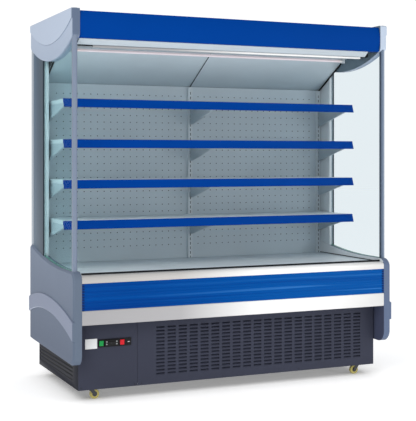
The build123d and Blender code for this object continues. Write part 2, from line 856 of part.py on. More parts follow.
# ---------------------------------------------------------------- bumper and front trims
rib_depth = bumper_rib_height
face_y = front_y + rib_depth
rib_pitch = (bumper_top - bumper_bottom) / bumper_ribs
bumper_outline = [(face_y, bumper_bottom)]
for n in range(bumper_ribs):
    z = bumper_bottom + n * rib_pitch
    bumper_outline += [
        (face_y, z + 0.3 * rib_pitch),
        (front_y, z + 0.4 * rib_pitch),
        (front_y, z + 0.6 * rib_pitch),
        (face_y, z + 0.7 * rib_pitch),
    ]
bumper_outline += [
    (face_y, bumper_top),
    (tub_y, bumper_top),
    (tub_y, bumper_top - bumper_wall),
    (face_y + bumper_wall, bumper_top - bumper_wall),
    (face_y + bumper_wall, bumper_bottom + bumper_wall),
    (tub_y, bumper_bottom + bumper_wall),
    (tub_y, bumper_bottom),
]
with BuildPart() as bumper_strip:
    bar_along_x(bumper_outline, -inner_x, inner_x)
keep(bumper_strip, "bumper_strip")

with BuildPart() as bumper_top_rail:
    top_rail = [
        (front_y + sheet / 2, bumper_top),
        (front_y + sheet / 2, rail_top - sheet / 2),
        (rail_back_y - sheet / 2, rail_top - sheet / 2),
        (rail_back_y - sheet / 2, tub_rim),
    ]
    folded_sheet(top_rail, (rail_nose_radius, rail_back_radius), sheet, -inner_x, inner_x)
keep(bumper_top_rail, "bumper_top_rail")

with BuildPart() as front_panel:
    front_trim = [
        (tub_y, bumper_bottom - sheet / 2),
        (front_y + sheet / 2, bumper_bottom - sheet / 2),
        (front_y + sheet / 2, plinth_top - sheet / 2),
        (plinth_y, plinth_top - sheet / 2),
    ]
    folded_sheet(front_trim, (rail_back_radius, rail_back_radius), sheet, -inner_x, inner_x)
keep(front_panel, "front_panel")

# ---------------------------------------------------------------- return air grille and deck
flange_bottom = deck_top - deck_lip
with BuildPart() as return_air_grille:
    deck_x = inner_x - deck_gap
    box_between(-deck_x, deck_x, return_y0, return_y1, deck_top - return_plate, deck_top)
    with BuildSketch(Plane.XY.offset(deck_top - return_plate)):
        with Locations((0, (return_y0 + return_y1) / 2)):
            with GridLocations(2 * deck_x / return_slots, 1, return_slots, 1):
                Rectangle(return_slot_width, return_slot_length)
    extrude(amount=return_plate, mode=Mode.SUBTRACT)
    box_between(-deck_x, deck_x, return_y0, return_y0 + sheet, tub_rim, deck_top - return_plate)
    box_between(-deck_x, deck_x, return_y1 - sheet, return_y1, flange_bottom, deck_top - return_plate)
keep(return_air_grille, "return_air_grille")

pan_width = (2 * deck_x - (pans - 1) * deck_gap) / pans
with BuildPart() as deck_pans:
    for n in range(pans):
        x0 = -deck_x + n * (pan_width + deck_gap)
        x1 = x0 + pan_width
        y1 = shelf_back_y
        box_between(x0, x1, deck_y0, y1, flange_bottom, deck_top)
        w = pan_sheet
        box_between(x0 + w, x1 - w, deck_y0 + w, y1 - w, flange_bottom, deck_top - w, Mode.SUBTRACT)
keep(deck_pans, "deck_pans")

# ---------------------------------------------------------------- back panels and uprights
panel_face_y = back_panel_y + pan_sheet
side_gap = inner_x - deck_x
with BuildPart() as back_panels:
    for side in (-1, 1):
        near = side * shelf_gap / 2
        far = side * (inner_x - side_gap)
        x0, x1 = sorted((near, far))
        ledge_y = shelf_back_y - deck_lip
        box_between(x0, x1, back_panel_y, panel_face_y, flange_bottom - pan_sheet, duct_foot_z)
        box_between(x0, x1, ledge_y, back_panel_y, flange_bottom - pan_sheet, flange_bottom)
        for x in (x0, x1 - pan_sheet):
            box_between(x, x + pan_sheet, back_panel_y, back_inside_y, flange_bottom - pan_sheet, duct_foot_z)
keep(back_panels, "back_panels")

slot_levels = [first_slot_z + n * slot_pitch for n in range(-slots_below, slots_above + 1)]
upright_places = (-upright_x, 0, upright_x)
with BuildPart() as shelf_uprights:
    for x in upright_places:
        half = upright_width / 2
        web = half - upright_wall
        front = upright_front_y
        box_between(x - half, x + half, front, back_panel_y, flange_bottom, upright_top)
        box_between(x - web, x + web, front + upright_wall, back_panel_y, flange_bottom, upright_top, Mode.SUBTRACT)
    with BuildSketch(Plane.XZ.offset(-upright_front_y)):
        with Locations(*[(x, z) for x in upright_places for z in slot_levels]):
            Rectangle(slot_width, slot_height)
    extrude(amount=-upright_wall, mode=Mode.SUBTRACT)
keep(shelf_uprights, "shelf_uprights")

# ---------------------------------------------------------------- shelves, brackets and price strips
shelf_end = upright_x + pan_sheet / 2
for level, top in enumerate(shelf_tops, start=1):
    with BuildPart() as shelf:
        for side in (-1, 1):
            x0, x1 = sorted((side * shelf_gap / 2, side * shelf_end))
            w = pan_sheet
            under = top - shelf_flange
            box_between(x0, x1, shelf_front_y, shelf_back_y, under, top)
            box_between(x0 + w, x1 - w, shelf_front_y + w, shelf_back_y - w, under, top - w, Mode.SUBTRACT)
    keep(shelf, f"shelf_{level}")

arm = shelf_lowest_top - shelf_flange
foot = arm - bracket_height
foot_y = upright_front_y - bracket_foot
nose = arm - bracket_nose
plate = [
    (upright_front_y, arm),
    (bracket_front_y, arm),
    (bracket_front_y, nose),
    (foot_y, foot),
    (upright_front_y, foot),
]
lip = [
    (bracket_front_y, nose),
    (bracket_front_y, nose + bracket_thickness),
    (foot_y, foot + bracket_thickness),
    (foot_y, foot),
]
with BuildPart() as bracket_row:
    for x in upright_places:
        x0 = x - bracket_thickness / 2
        x1 = x + bracket_thickness / 2
        bar_along_x(plate, x0, x1)
        lip_x = x - bracket_lip if x > 0 else x + bracket_lip
        bar_along_x(lip, min(x, lip_x), max(x, lip_x))
        for n in range(hooks):
            z = first_slot_z - n * slot_pitch - slot_height / 2
            box_between(x0, x1, upright_front_y, upright_front_y + hook_depth, z, z + hook_height)

with BuildPart() as shelf_brackets:
    with Locations(*[(0, 0, top - shelf_lowest_top) for top in shelf_tops]):
        add(bracket_row.part)
keep(shelf_brackets, "shelf_brackets")

with BuildPart() as price_strips:
    strip_x = inner_x - deck_gap
    for top in shelf_tops:
        strip_y = shelf_front_y - strip_top_depth
        foot_y = strip_y - strip_lean
        strip = [
            (shelf_front_y, top),
            (strip_y - strip_lip, top),
            (strip_y - strip_lip, top - strip_wall),
            (strip_y, top - strip_wall),
            (foot_y, top - strip_height + strip_wall),
            (foot_y - strip_lip, top - strip_height + strip_wall),
            (foot_y - strip_lip, top - strip_height),
            (foot_y + strip_wall, top - strip_height),
            (strip_y + strip_wall, top - strip_wall),
            (shelf_front_y - strip_lip / 2, top - shelf_flange),
            (shelf_front_y, top - shelf_flange),
        ]
        bar_along_x(strip, -strip_x, strip_x)
keep(price_strips, "price_strips")

# ---------------------------------------------------------------- canopy
fascia_y = front_y + fascia_set_back
fascia_top = roof_top + fascia_sheet / 2
with BuildPart() as canopy_fascia:
    with BuildSketch(Plane.YZ.offset(-inner_x)):
        with BuildLine():
            Line((fascia_y + fascia_top_return, fascia_top), (fascia_y, fascia_top))
            ThreePointArc(
                (fascia_y, fascia_top),
                (fascia_y - fascia_bulge, (fascia_top + fascia_bottom) / 2),
                (fascia_y, fascia_bottom),
            )
            Line((fascia_y, fascia_bottom), (fascia_y + fascia_bottom_return, fascia_bottom))
        trace(line_width=fascia_sheet)
    extrude(amount=2 * inner_x)
keep(canopy_fascia, "canopy_fascia")

lamp_top = fascia_bottom - fascia_sheet / 2 - pan_sheet / 2
with BuildPart() as lamp_housing:
    trough = [
        (fascia_y + fascia_bottom_return, lamp_top),
        (fascia_y + lamp_box_front, lamp_top),
        (fascia_y + lamp_box_lean, fascia_bottom - lamp_box_drop),
        (fascia_y + lamp_box_back, fascia_bottom - lamp_box_drop),
        (fascia_y + lamp_box_back, lamp_top),
    ]
    folded_sheet(trough, (2, 2, 2), pan_sheet, -lamp_box_left, lamp_box_right)
keep(lamp_housing, "lamp_housing")

with BuildPart() as curtain_cassette:
    case_x = curtain_half + sheet + cassette_end
    w = cassette_wall
    box_between(-case_x, case_x, cassette_y0 - w, cassette_y1 + w, cassette_bottom, cassette_top + w)
    box_between(
        -curtain_half - sheet,
        curtain_half + sheet,
        cassette_y0,
        cassette_y1,
        cassette_bottom,
        cassette_top,
        Mode.SUBTRACT,
    )
    box_between(-lamp_box_right, lamp_box_right, cassette_y1, cassette_y1 + w, cassette_top, roof_bottom)
    with BuildSketch(Plane.YZ.offset(-case_x)):
        with Locations((roller_y, roller_z)):
            Circle(roller_pin_radius + pin_clearance)
    extrude(amount=2 * case_x, mode=Mode.SUBTRACT)
keep(curtain_cassette, "curtain_cassette")

with BuildPart() as curtain_roller:
    for half, radius in ((curtain_half, roll_radius), (curtain_half + roller_pin_length, roller_pin_radius)):
        with BuildSketch(Plane.YZ.offset(-half)):
            with Locations((roller_y, roller_z)):
                Circle(radius)
        extrude(amount=2 * half)
keep(curtain_roller, "curtain_roller")

with BuildPart() as curtain_bar:
    box_between(
        -curtain_half, curtain_half, curtain_y - bar_depth / 2, curtain_y + bar_depth / 2, bar_top - bar_height, bar_top
    )
    fillet(curtain_bar.edges().filter_by(Axis.X), radius=bar_radius)
keep(curtain_bar, "curtain_bar")

with BuildPart() as curtain_fabric:
    box_between(-curtain_half, curtain_half, curtain_y - cloth / 2, curtain_y + cloth / 2, bar_top, roller_z)
keep(curtain_fabric, "curtain_fabric")

honeycomb_y0 = cassette_y1 + cassette_wall
honeycomb_y1 = ceiling_front_y - pan_sheet / 2
honeycomb_top = ceiling_z + honeycomb_height / 2
with BuildPart() as air_honeycomb:
    box_between(
        -inner_x, inner_x, honeycomb_y0, honeycomb_y1, honeycomb_top - honeycomb_height, honeycomb_top
    )
    cell_pitch = 2 * inner_x / honeycomb_cells
    with BuildSketch(Plane.XY.offset(honeycomb_top - honeycomb_height)):
        with Locations((0, (honeycomb_y0 + honeycomb_y1) / 2)):
            with GridLocations(cell_pitch, 1, honeycomb_cells, 1):
                Rectangle(cell_pitch - honeycomb_wall, honeycomb_y1 - honeycomb_y0 - 2 * honeycomb_wall)
    extrude(amount=honeycomb_height, mode=Mode.SUBTRACT)
keep(air_honeycomb, "air_honeycomb")

with BuildPart() as upper_duct_panel:
    ceiling = [
        (ceiling_front_y, honeycomb_top),
        (ceiling_front_y, ceiling_z),
        (ceiling_bend_y, ceiling_z),
        (panel_face_y, duct_foot_z + pan_sheet),
    ]
    folded_sheet(ceiling, (3, 6), pan_sheet, -deck_x, deck_x)
keep(upper_duct_panel, "upper_duct_panel")

with BuildPart() as lamp_batten:
    batten_top = ceiling_z - pan_sheet / 2
    half = batten_width / 2
    box_between(
        -batten_left, batten_right, batten_y - half / 2, batten_y + half, batten_top - batten_height, batten_top
    )
    half = tube_socket_width / 2
    socket_bottom = tube_z - tube_socket_drop
    for x in (-batten_left, batten_right - tube_socket):
        box_between(x, x + tube_socket, batten_y - half, batten_y + half, socket_bottom, batten_top - batten_height)
keep(lamp_batten, "lamp_batten")

with BuildPart() as lamp_tube:
    tube_x0 = tube_socket - batten_left
    tube_x1 = batten_right - tube_socket
    with BuildSketch(Plane.YZ.offset(tube_x0)):
        with Locations((batten_y, tube_z)):
            Circle(tube_radius)
    extrude(amount=tube_x1 - tube_x0)
keep(lamp_tube, "lamp_tube")


# ---------------------------------------------------------------- fans
def fan_rotor(x, y, z, radius):
    """Axial fan on a shaft along Y, its blades centred at y."""
    for n in range(fan_blades):
        with Locations(Location((x, y, z), (0, n * 360 / fan_blades, 0))):
            Box(
                fan_blade_width,
                fan_blade_thickness,
                radius * cos(radians(fan_tip_angle)),
                rotation=(0, 0, fan_blade_pitch),
                align=(Align.CENTER, Align.CENTER, Align.MIN),
            )
    with BuildSketch(Plane.XZ.offset(fan_hub_length / 2 - y)) as section:
        with Locations((x, z)):
            RegularPolygon(fan_hub_radius, 12)
    extrude(section.sketch, amount=-fan_hub_length)
    bore_y = y + fan_hub_length / 2 - fan_shaft_reach - 2 * running_gap
    rod_along_y(x, z, bore_y, y + fan_hub_length / 2, fan_shaft_radius + fan_shaft_clearance, Mode.SUBTRACT)


def fan_motor(x, y, z, hole_radius):
    """Hole in a plate whose back is at y, with a motor on a bar behind the hole."""
    rod_along_y(x, z, y - fin_wall, y, hole_radius, Mode.SUBTRACT)
    bar_y = y + motor_gap
    half = motor_bar / 2
    reach = hole_radius + motor_bar_lap
    box_between(x - half, x + half, bar_y, bar_y + motor_bar_sheet, z - reach, z + reach)
    for foot_z in (z - reach, z + reach - motor_bar_sheet):
        box_between(x - half, x + half, y, bar_y, foot_z, foot_z + motor_bar_sheet)
    motor_y = bar_y + motor_bar_sheet
    half = motor_width / 2
    box_between(x - half, x + half, motor_y, motor_y + motor_length, z - half, z + half)
    shaft_y = bar_y - 2 * running_gap - fan_shaft_reach
    rod_along_y(x, z, shaft_y, bar_y, fan_shaft_radius)


# ---------------------------------------------------------------- condensing unit
condenser_x1 = condenser_x0 + condenser_length
condenser_y0 = frame_y0 + condenser_front_gap
condenser_y1 = condenser_y0 + condenser_depth
condenser_top = base_top + condenser_height
with BuildPart() as condenser_coil:
    box_between(condenser_x0, condenser_x1, condenser_y0, condenser_y1, base_top, condenser_top)
    fin_pitch = (condenser_length - fin_wall) / condenser_fins
    coil_x = (condenser_x0 + condenser_x1) / 2
    coil_z = (base_top + condenser_top) / 2
    with BuildSketch(Plane.XZ.offset(-condenser_y0)):
        with Locations((coil_x, coil_z)):
            with GridLocations(fin_pitch, 1, condenser_fins, 1):
                Rectangle(fin_pitch - fin_wall, condenser_height - 2 * coil_plate)
    extrude(amount=-condenser_depth, mode=Mode.SUBTRACT)
keep(condenser_coil, "condenser_coil")

shroud_y1 = condenser_y1 + shroud_depth
condenser_hole = condenser_fan_radius + fan_tip_gap
condenser_fan_y = shroud_y1 + motor_gap - 2 * running_gap - fan_hub_length / 2
with BuildPart() as condenser_shroud:
    box_between(condenser_x0, condenser_x1, condenser_y1, shroud_y1, base_top, condenser_top)
    w = fin_wall
    box_between(
        condenser_x0 + w, condenser_x1 - w, condenser_y1, shroud_y1 - w, base_top + w, condenser_top - w, Mode.SUBTRACT
    )
    fan_motor(coil_x, shroud_y1, coil_z, condenser_hole)
keep(condenser_shroud, "condenser_shroud")

with BuildPart() as condenser_fan:
    fan_rotor(coil_x, condenser_fan_y, coil_z, condenser_fan_radius)
keep(condenser_fan, "condenser_fan")

with BuildPart() as compressor:
    foot_z = base_top + grommet_height
    shell_z = foot_z + compressor_foot_sheet
    for x in (compressor_x - compressor_grommet_x, compressor_x + compressor_grommet_x):
        for y in (compressor_y - compressor_grommet_y, compressor_y + compressor_grommet_y):
            half = grommet_width / 2
            box_between(x - half, x + half, y - half, y + half, base_top, foot_z)
    half_x = compressor_foot_length / 2
    half_y = compressor_foot_width / 2
    box_between(
        compressor_x - half_x, compressor_x + half_x, compressor_y - half_y, compressor_y + half_y, foot_z, shell_z
    )
    rod_along_z(compressor_x, compressor_y, shell_z, shell_z + compressor_height, compressor_radius)
    shell_rims = compressor.edges().filter_by(GeomType.CIRCLE)
    chamfer(shell_rims.sort_by(Axis.Z)[-1:], length=compressor_dome / 2, length2=compressor_dome)
keep(compressor, "compressor")

# ---------------------------------------------------------------- evaporator
evaporator_bottom = tub_floor_top + evaporator_foot
evaporator_top = evaporator_bottom + evaporator_height
evaporator_y1 = evaporator_y0 + evaporator_depth
with BuildPart() as evaporator_coil:
    box_between(
        -evaporator_half, evaporator_half, evaporator_y0, evaporator_y1, evaporator_bottom, evaporator_top
    )
    fin_pitch = (2 * evaporator_half - fin_wall) / evaporator_fins
    with BuildSketch(Plane.XZ.offset(-evaporator_y0)):
        with Locations((0, (evaporator_bottom + evaporator_top) / 2)):
            with GridLocations(fin_pitch, 1, evaporator_fins, 1):
                Rectangle(fin_pitch - fin_wall, evaporator_height - 2 * coil_plate)
    extrude(amount=-evaporator_depth, mode=Mode.SUBTRACT)
    for x in (-evaporator_half, evaporator_half - rail_wall):
        box_between(x, x + rail_wall, evaporator_y0, evaporator_y1, tub_floor_top, evaporator_bottom)
keep(evaporator_coil, "evaporator_coil")

evaporator_hole = evaporator_fan_radius + fan_tip_gap
evaporator_fan_z = (tub_floor_top + flange_bottom) / 2
with BuildPart() as evaporator_fan_plate:
    box_between(-tub_inside_x, tub_inside_x, fan_plate_y - sheet, fan_plate_y, tub_floor_top, flange_bottom)
    for x in (-evaporator_fan_x, evaporator_fan_x):
        fan_motor(x, fan_plate_y, evaporator_fan_z, evaporator_hole)
keep(evaporator_fan_plate, "evaporator_fan_plate")

evaporator_fan_y = fan_plate_y + motor_gap - 2 * running_gap - fan_hub_length / 2
for name, x in (("left", -evaporator_fan_x), ("right", evaporator_fan_x)):
    with BuildPart() as evaporator_fan:
        fan_rotor(x, evaporator_fan_y, evaporator_fan_z, evaporator_fan_radius)
    keep(evaporator_fan, f"evaporator_fan_{name}")


# ---------------------------------------------------------------- refrigerant pipes
def pipe(points, radius):
    """Eight-sided pipe along corner points, mitred at every inner one."""
    with BuildLine() as route:
        Polyline(*points)
    with BuildSketch(route.line ^ 0) as section:
        RegularPolygon(radius, 8)
    sweep(section.sketch, path=route.line, transition=Transition.RIGHT)


condenser_mid_y = (condenser_y0 + condenser_y1) / 2
with BuildPart() as refrigerant_pipes:
    discharge = [
        (compressor_x - compressor_radius, compressor_y, discharge_z),
        (discharge_x, compressor_y, discharge_z),
        (discharge_x, condenser_mid_y, discharge_z),
        (condenser_x1, condenser_mid_y, discharge_z),
    ]
    pipe(discharge, discharge_radius)
    liquid = [
        (condenser_x1, condenser_mid_y, liquid_low_z),
        (liquid_x, condenser_mid_y, liquid_low_z),
        (liquid_x, liquid_y, liquid_low_z),
        (liquid_x, liquid_y, liquid_high_z),
        (liquid_x, evaporator_y0, liquid_high_z),
    ]
    pipe(liquid, liquid_radius)
    suction = [
        (evaporator_half, compressor_y, suction_z),
        (suction_x, compressor_y, suction_z),
        (suction_x, compressor_y, discharge_z),
        (compressor_x + compressor_radius, compressor_y, discharge_z),
    ]
    pipe(suction, suction_radius)
keep(refrigerant_pipes, "refrigerant_pipes")
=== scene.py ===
"""Looks of an open multideck display fridge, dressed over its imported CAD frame.

Lengths are metres in the frame's own axes: +X to the shopper's right, +Y from the open front
to the back, +Z up, with the origin on the floor. Names that end in _mm hold millimetres, and MM
turns them into metres.
"""

import json
import logging
import math
from dataclasses import dataclass
from enum import Enum
from typing import Any, Iterable, Optional, Sequence

import bmesh
import bpy
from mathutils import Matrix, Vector


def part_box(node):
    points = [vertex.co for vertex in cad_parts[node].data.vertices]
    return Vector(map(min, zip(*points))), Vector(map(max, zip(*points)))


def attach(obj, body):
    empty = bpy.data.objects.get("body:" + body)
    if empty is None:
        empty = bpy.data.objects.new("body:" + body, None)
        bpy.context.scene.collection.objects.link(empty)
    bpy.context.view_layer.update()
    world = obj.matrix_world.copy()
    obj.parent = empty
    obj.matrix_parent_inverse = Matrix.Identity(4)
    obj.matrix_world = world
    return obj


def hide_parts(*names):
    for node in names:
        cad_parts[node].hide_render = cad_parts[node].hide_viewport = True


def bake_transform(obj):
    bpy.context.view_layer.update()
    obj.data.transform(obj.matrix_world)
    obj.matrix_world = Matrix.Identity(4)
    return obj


log = logging.getLogger("display_fridge")

MM = 0.001
Span = tuple[float, float]
Point = tuple[float, float, float]
Colour = tuple[float, float, float, float]
Tree = bpy.types.NodeTree
Socket = bpy.types.NodeSocket
Mesh = bpy.types.Mesh
Piece = bpy.types.Object
Material = bpy.types.Material

FLAT: Point = (0.0, 0.0, 0.0)
UPRIGHT: Point = (math.pi / 2, 0.0, 0.0)  # stands a flat form up, with its +Z towards the front
REARWARD: Point = (-math.pi / 2, 0.0, 0.0)  # the same, towards the back
ENDS_APART: Span = (-0.1, 0.1)  # X over which a tone changes from the left end's to the right end's
EDGE_BLUR = 0.0004  # width of a painted edge

# Edges that turn by less than these degrees are shaded smooth.
MOULDED_DEGREES = 60.0  # mouldings and cloth
BOX_DEGREES = 50.0
JOINED_DEGREES = 45.0
SHEET_DEGREES = 40.0  # bevelled sheet and repeated forms
TURNED_DEGREES = 35.0

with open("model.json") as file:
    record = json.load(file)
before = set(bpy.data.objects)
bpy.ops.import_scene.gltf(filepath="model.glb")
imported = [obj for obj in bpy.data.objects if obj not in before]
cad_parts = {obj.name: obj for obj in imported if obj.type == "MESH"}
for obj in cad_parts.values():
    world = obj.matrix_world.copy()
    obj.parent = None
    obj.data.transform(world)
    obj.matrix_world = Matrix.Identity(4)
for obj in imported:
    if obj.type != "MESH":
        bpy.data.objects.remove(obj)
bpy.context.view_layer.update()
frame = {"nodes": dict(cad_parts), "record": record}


class Side(Enum):
    """The two ends of the cabinet, with the sign of X at each."""

    LEFT = -1
    RIGHT = 1


class Row(Enum):
    """The two rows of castors, as the frame's names give them."""

    FRONT = "front"
    REAR = "rear"


class Body(Enum):
    """Rigid bodies that new pieces ride on."""

    CABINET = "cabinet"
    CURTAIN_BAR = "curtain_bar"


class Axis(Enum):
    """Axes that a piece is turned about."""

    X = "X"
    Y = "Y"


# ---------------------------------------------------------------- colours and shader nodes
def linear(hex_colour: str) -> Colour:
    """Turn an sRGB hex colour into Blender's linear colour.

    Args:
        hex_colour: six hex digits, with or without a leading #.

    Returns:
        Linear red, green and blue, with an alpha of 1.
    """
    digits = hex_colour.lstrip("#")
    values = [int(digits[i : i + 2], 16) / 255 for i in (0, 2, 4)]
    line = [v / 12.92 if v <= 0.04045 else ((v + 0.055) / 1.055) ** 2.4 for v in values]
    return (line[0], line[1], line[2], 1.0)


def shade(colour: Colour, factor: float) -> Colour:
    """Scale a linear colour's brightness."""
    return (colour[0] * factor, colour[1] * factor, colour[2] * factor, 1.0)


def add_node(
    tree: Tree, kind: str, values: Optional[dict[Any, Any]] = None, **settings: Any
) -> bpy.types.Node:
    """Add one node with its settings, socket values and links.

    Args:
        tree: the node tree that takes the node.
        kind: the node's type name.
        values: input name or index to a constant, or to an output socket to link from.
        **settings: properties set on the node itself, before its inputs.

    Returns:
        The new node.
    """
    node = tree.nodes.new(kind)
    for name, value in settings.items():
        setattr(node, name, value)
    for name, value in (values or {}).items():
        if isinstance(value, Socket):
            tree.links.new(value, node.inputs[name])
        else:
            node.inputs[name].default_value = value
    return node


def graded(tree: Tree, value: Socket, stops: Sequence[tuple[float, Colour]]) -> Socket:
    """Grade colours along a value, as paint or dirt lies unevenly on a face.

    Args:
        tree: the material's node tree.
        value: the value to follow, from 0 to 1.
        stops: places from 0 to 1, in order, with a linear colour at each.

    Returns:
        The graded colour.
    """
    node = add_node(tree, "ShaderNodeValToRGB", {0: value})
    elements = node.color_ramp.elements
    while len(elements) < len(stops):
        elements.new(0.5)
    for element, (place, colour) in zip(elements, stops):
        element.position = place
        element.color = colour
    return node.outputs[0]


def layered(tree: Tree, under: Any, top: Any, value: Socket, span: Optional[Span] = None) -> Socket:
    """Lay one colour over another, as far as a value says.

    Args:
        tree: the material's node tree.
        under: the colour below, or a socket that gives it.
        top: the colour above, or a socket that gives it.
        value: how much of the top colour shows, from 0 to 1, or the value that the span reads.
        span: the values at which the top colour starts to show and is full.

    Returns:
        The layered colour.
    """
    share = value
    if span is not None:
        start, full = span
        reach = add_node(tree, "ShaderNodeMapRange", {"Value": value, "From Min": start, "From Max": full})
        share = reach.outputs[0]
    return add_node(tree, "ShaderNodeMix", {0: share, 6: under, 7: top}, data_type="RGBA").outputs[2]


# ---------------------------------------------------------------- finishes
@dataclass(frozen=True)
class Finish:
    """One surface finish: a base colour with gentle variation, a fine relief and a sheen.

    Subclasses say what the real surface is and change the pattern.
    """

    name: str
    colour: str
    roughness: float = 0.4
    metallic: float = 0.0
    mottle: float = 0.06  # how far the colour drifts over a broad area
    mottle_mm: float = 260.0  # width of one drift, as broad as a sheet's uneven spray passes
    grain_mm: float = 3.0  # width of the relief's grain, drawn coarser than real so that it shows
    relief: float = 0.10  # strength of the relief in the shading
    relief_rise: float = 0.2  # height of the grain against its width
    gloss_swing: float = 0.12  # how far the roughness follows the grain
    ior: float = 1.5
    specular: float = 0.5

    def coordinates(self, tree: Tree) -> Socket:
        """Object coordinates, in metres of the frame."""
        return add_node(tree, "ShaderNodeTexCoord").outputs["Object"]

    def pattern(self, tree: Tree, place: Socket) -> Socket:
        """Fine relief, from 0 to 1."""
        grain = {"Vector": place, "Scale": 1 / (self.grain_mm * MM), "Detail": 2.0}
        return add_node(tree, "ShaderNodeTexNoise", grain).outputs["Fac"]

    def paint(self, tree: Tree, place: Socket) -> Socket:
        """Base colour with its broad drift.

        Args:
            tree: the material's node tree.
            place: the coordinates that the patterns follow.

        Returns:
            The colour.
        """
        spread = {"Vector": place, "Scale": 1 / (self.mottle_mm * MM), "Detail": 3.0}
        drift = add_node(tree, "ShaderNodeTexNoise", spread).outputs["Fac"]
        base = linear(self.colour)
        return graded(tree, drift, [(0.3, shade(base, 1 - self.mottle)), (0.7, shade(base, 1 + self.mottle))])

    def surface(self, tree: Tree, place: Socket) -> bpy.types.Node:
        """Shader with its colour, relief and gloss.

        Args:
            tree: the material's node tree.
            place: the coordinates that the patterns follow.

        Returns:
            The shader node.
        """
        relief = self.pattern(tree, place)
        smoothest = self.roughness * (1 - self.gloss_swing)
        roughest = min(1.0, self.roughness * (1 + self.gloss_swing))
        rough = add_node(
            tree, "ShaderNodeMapRange", {"Value": relief, "To Min": smoothest, "To Max": roughest}
        )
        rise = self.grain_mm * MM * self.relief_rise
        bump = add_node(tree, "ShaderNodeBump", {"Height": relief, "Strength": self.relief, "Distance": rise})
        return add_node(
            tree,
            "ShaderNodeBsdfPrincipled",
            {
                "Base Color": self.paint(tree, place),
                "Roughness": rough.outputs[0],
                "Metallic": self.metallic,
                "IOR": self.ior,
                "Specular IOR Level": self.specular,
                "Normal": bump.outputs[0],
            },
        )

    def extra(self, tree: Tree, shader: bpy.types.Node, place: Socket) -> None:
        """Hook for a subclass's own sockets."""

    def build(self) -> Material:
        """Make the material's node tree.

        Returns:
            The new material.
        """
        material = bpy.data.materials.new(self.name)
        material.use_nodes = True
        tree = material.node_tree
        tree.nodes.clear()
        place = self.coordinates(tree)
        shader = self.surface(tree, place)
        self.extra(tree, shader, place)
        add_node(tree, "ShaderNodeOutputMaterial", {"Surface": shader.outputs[0]})
        return material


@dataclass(frozen=True)
class PowderCoat(Finish):
    """Powder-coated steel sheet, sprayed and baked.

    The cured powder leaves a faint orange peel, about 2.4 mm from crest to crest, that softens
    highlights.
    """

    grain_mm: float = 2.4
    relief: float = 0.12


@dataclass(frozen=True)
class JointedSheet(PowderCoat):
    """Coated outer sheets, butted at two joints: a paler cover strip with a dark line down each side."""

    joint_x: float = 0.297
    half_strip: float = 0.015
    line: float = 0.0015
    strip_colour: str = "9aa4b3"
    line_colour: str = "5f6976"

    def paint(self, tree: Tree, place: Socket) -> Socket:
        """Sheet colour with the cover strips at both joints.

        Args:
            tree: the material's node tree.
            place: the coordinates that the patterns follow.

        Returns:
            The colour.
        """
        x = add_node(tree, "ShaderNodeSeparateXYZ", {0: place}).outputs["X"]
        across = add_node(tree, "ShaderNodeMath", {0: x}, operation="ABSOLUTE").outputs[0]
        offset = add_node(tree, "ShaderNodeMath", {0: across, 1: self.joint_x}, operation="SUBTRACT")
        away = add_node(tree, "ShaderNodeMath", {0: offset.outputs[0]}, operation="ABSOLUTE").outputs[0]
        edge = self.half_strip + self.line
        sheet = super().paint(tree, place)
        lined = layered(tree, sheet, linear(self.line_colour), away, (edge + EDGE_BLUR, edge))
        strip = linear(self.strip_colour)
        return layered(tree, lined, strip, away, (self.half_strip + EDGE_BLUR, self.half_strip))


@dataclass(frozen=True)
class MouldedPlastic(Finish):
    """Moulded plastic: smooth and a little waxy, with a slow drift of thickness and colour."""

    grain_mm: float = 5.0
    relief: float = 0.05
    specular: float = 0.45


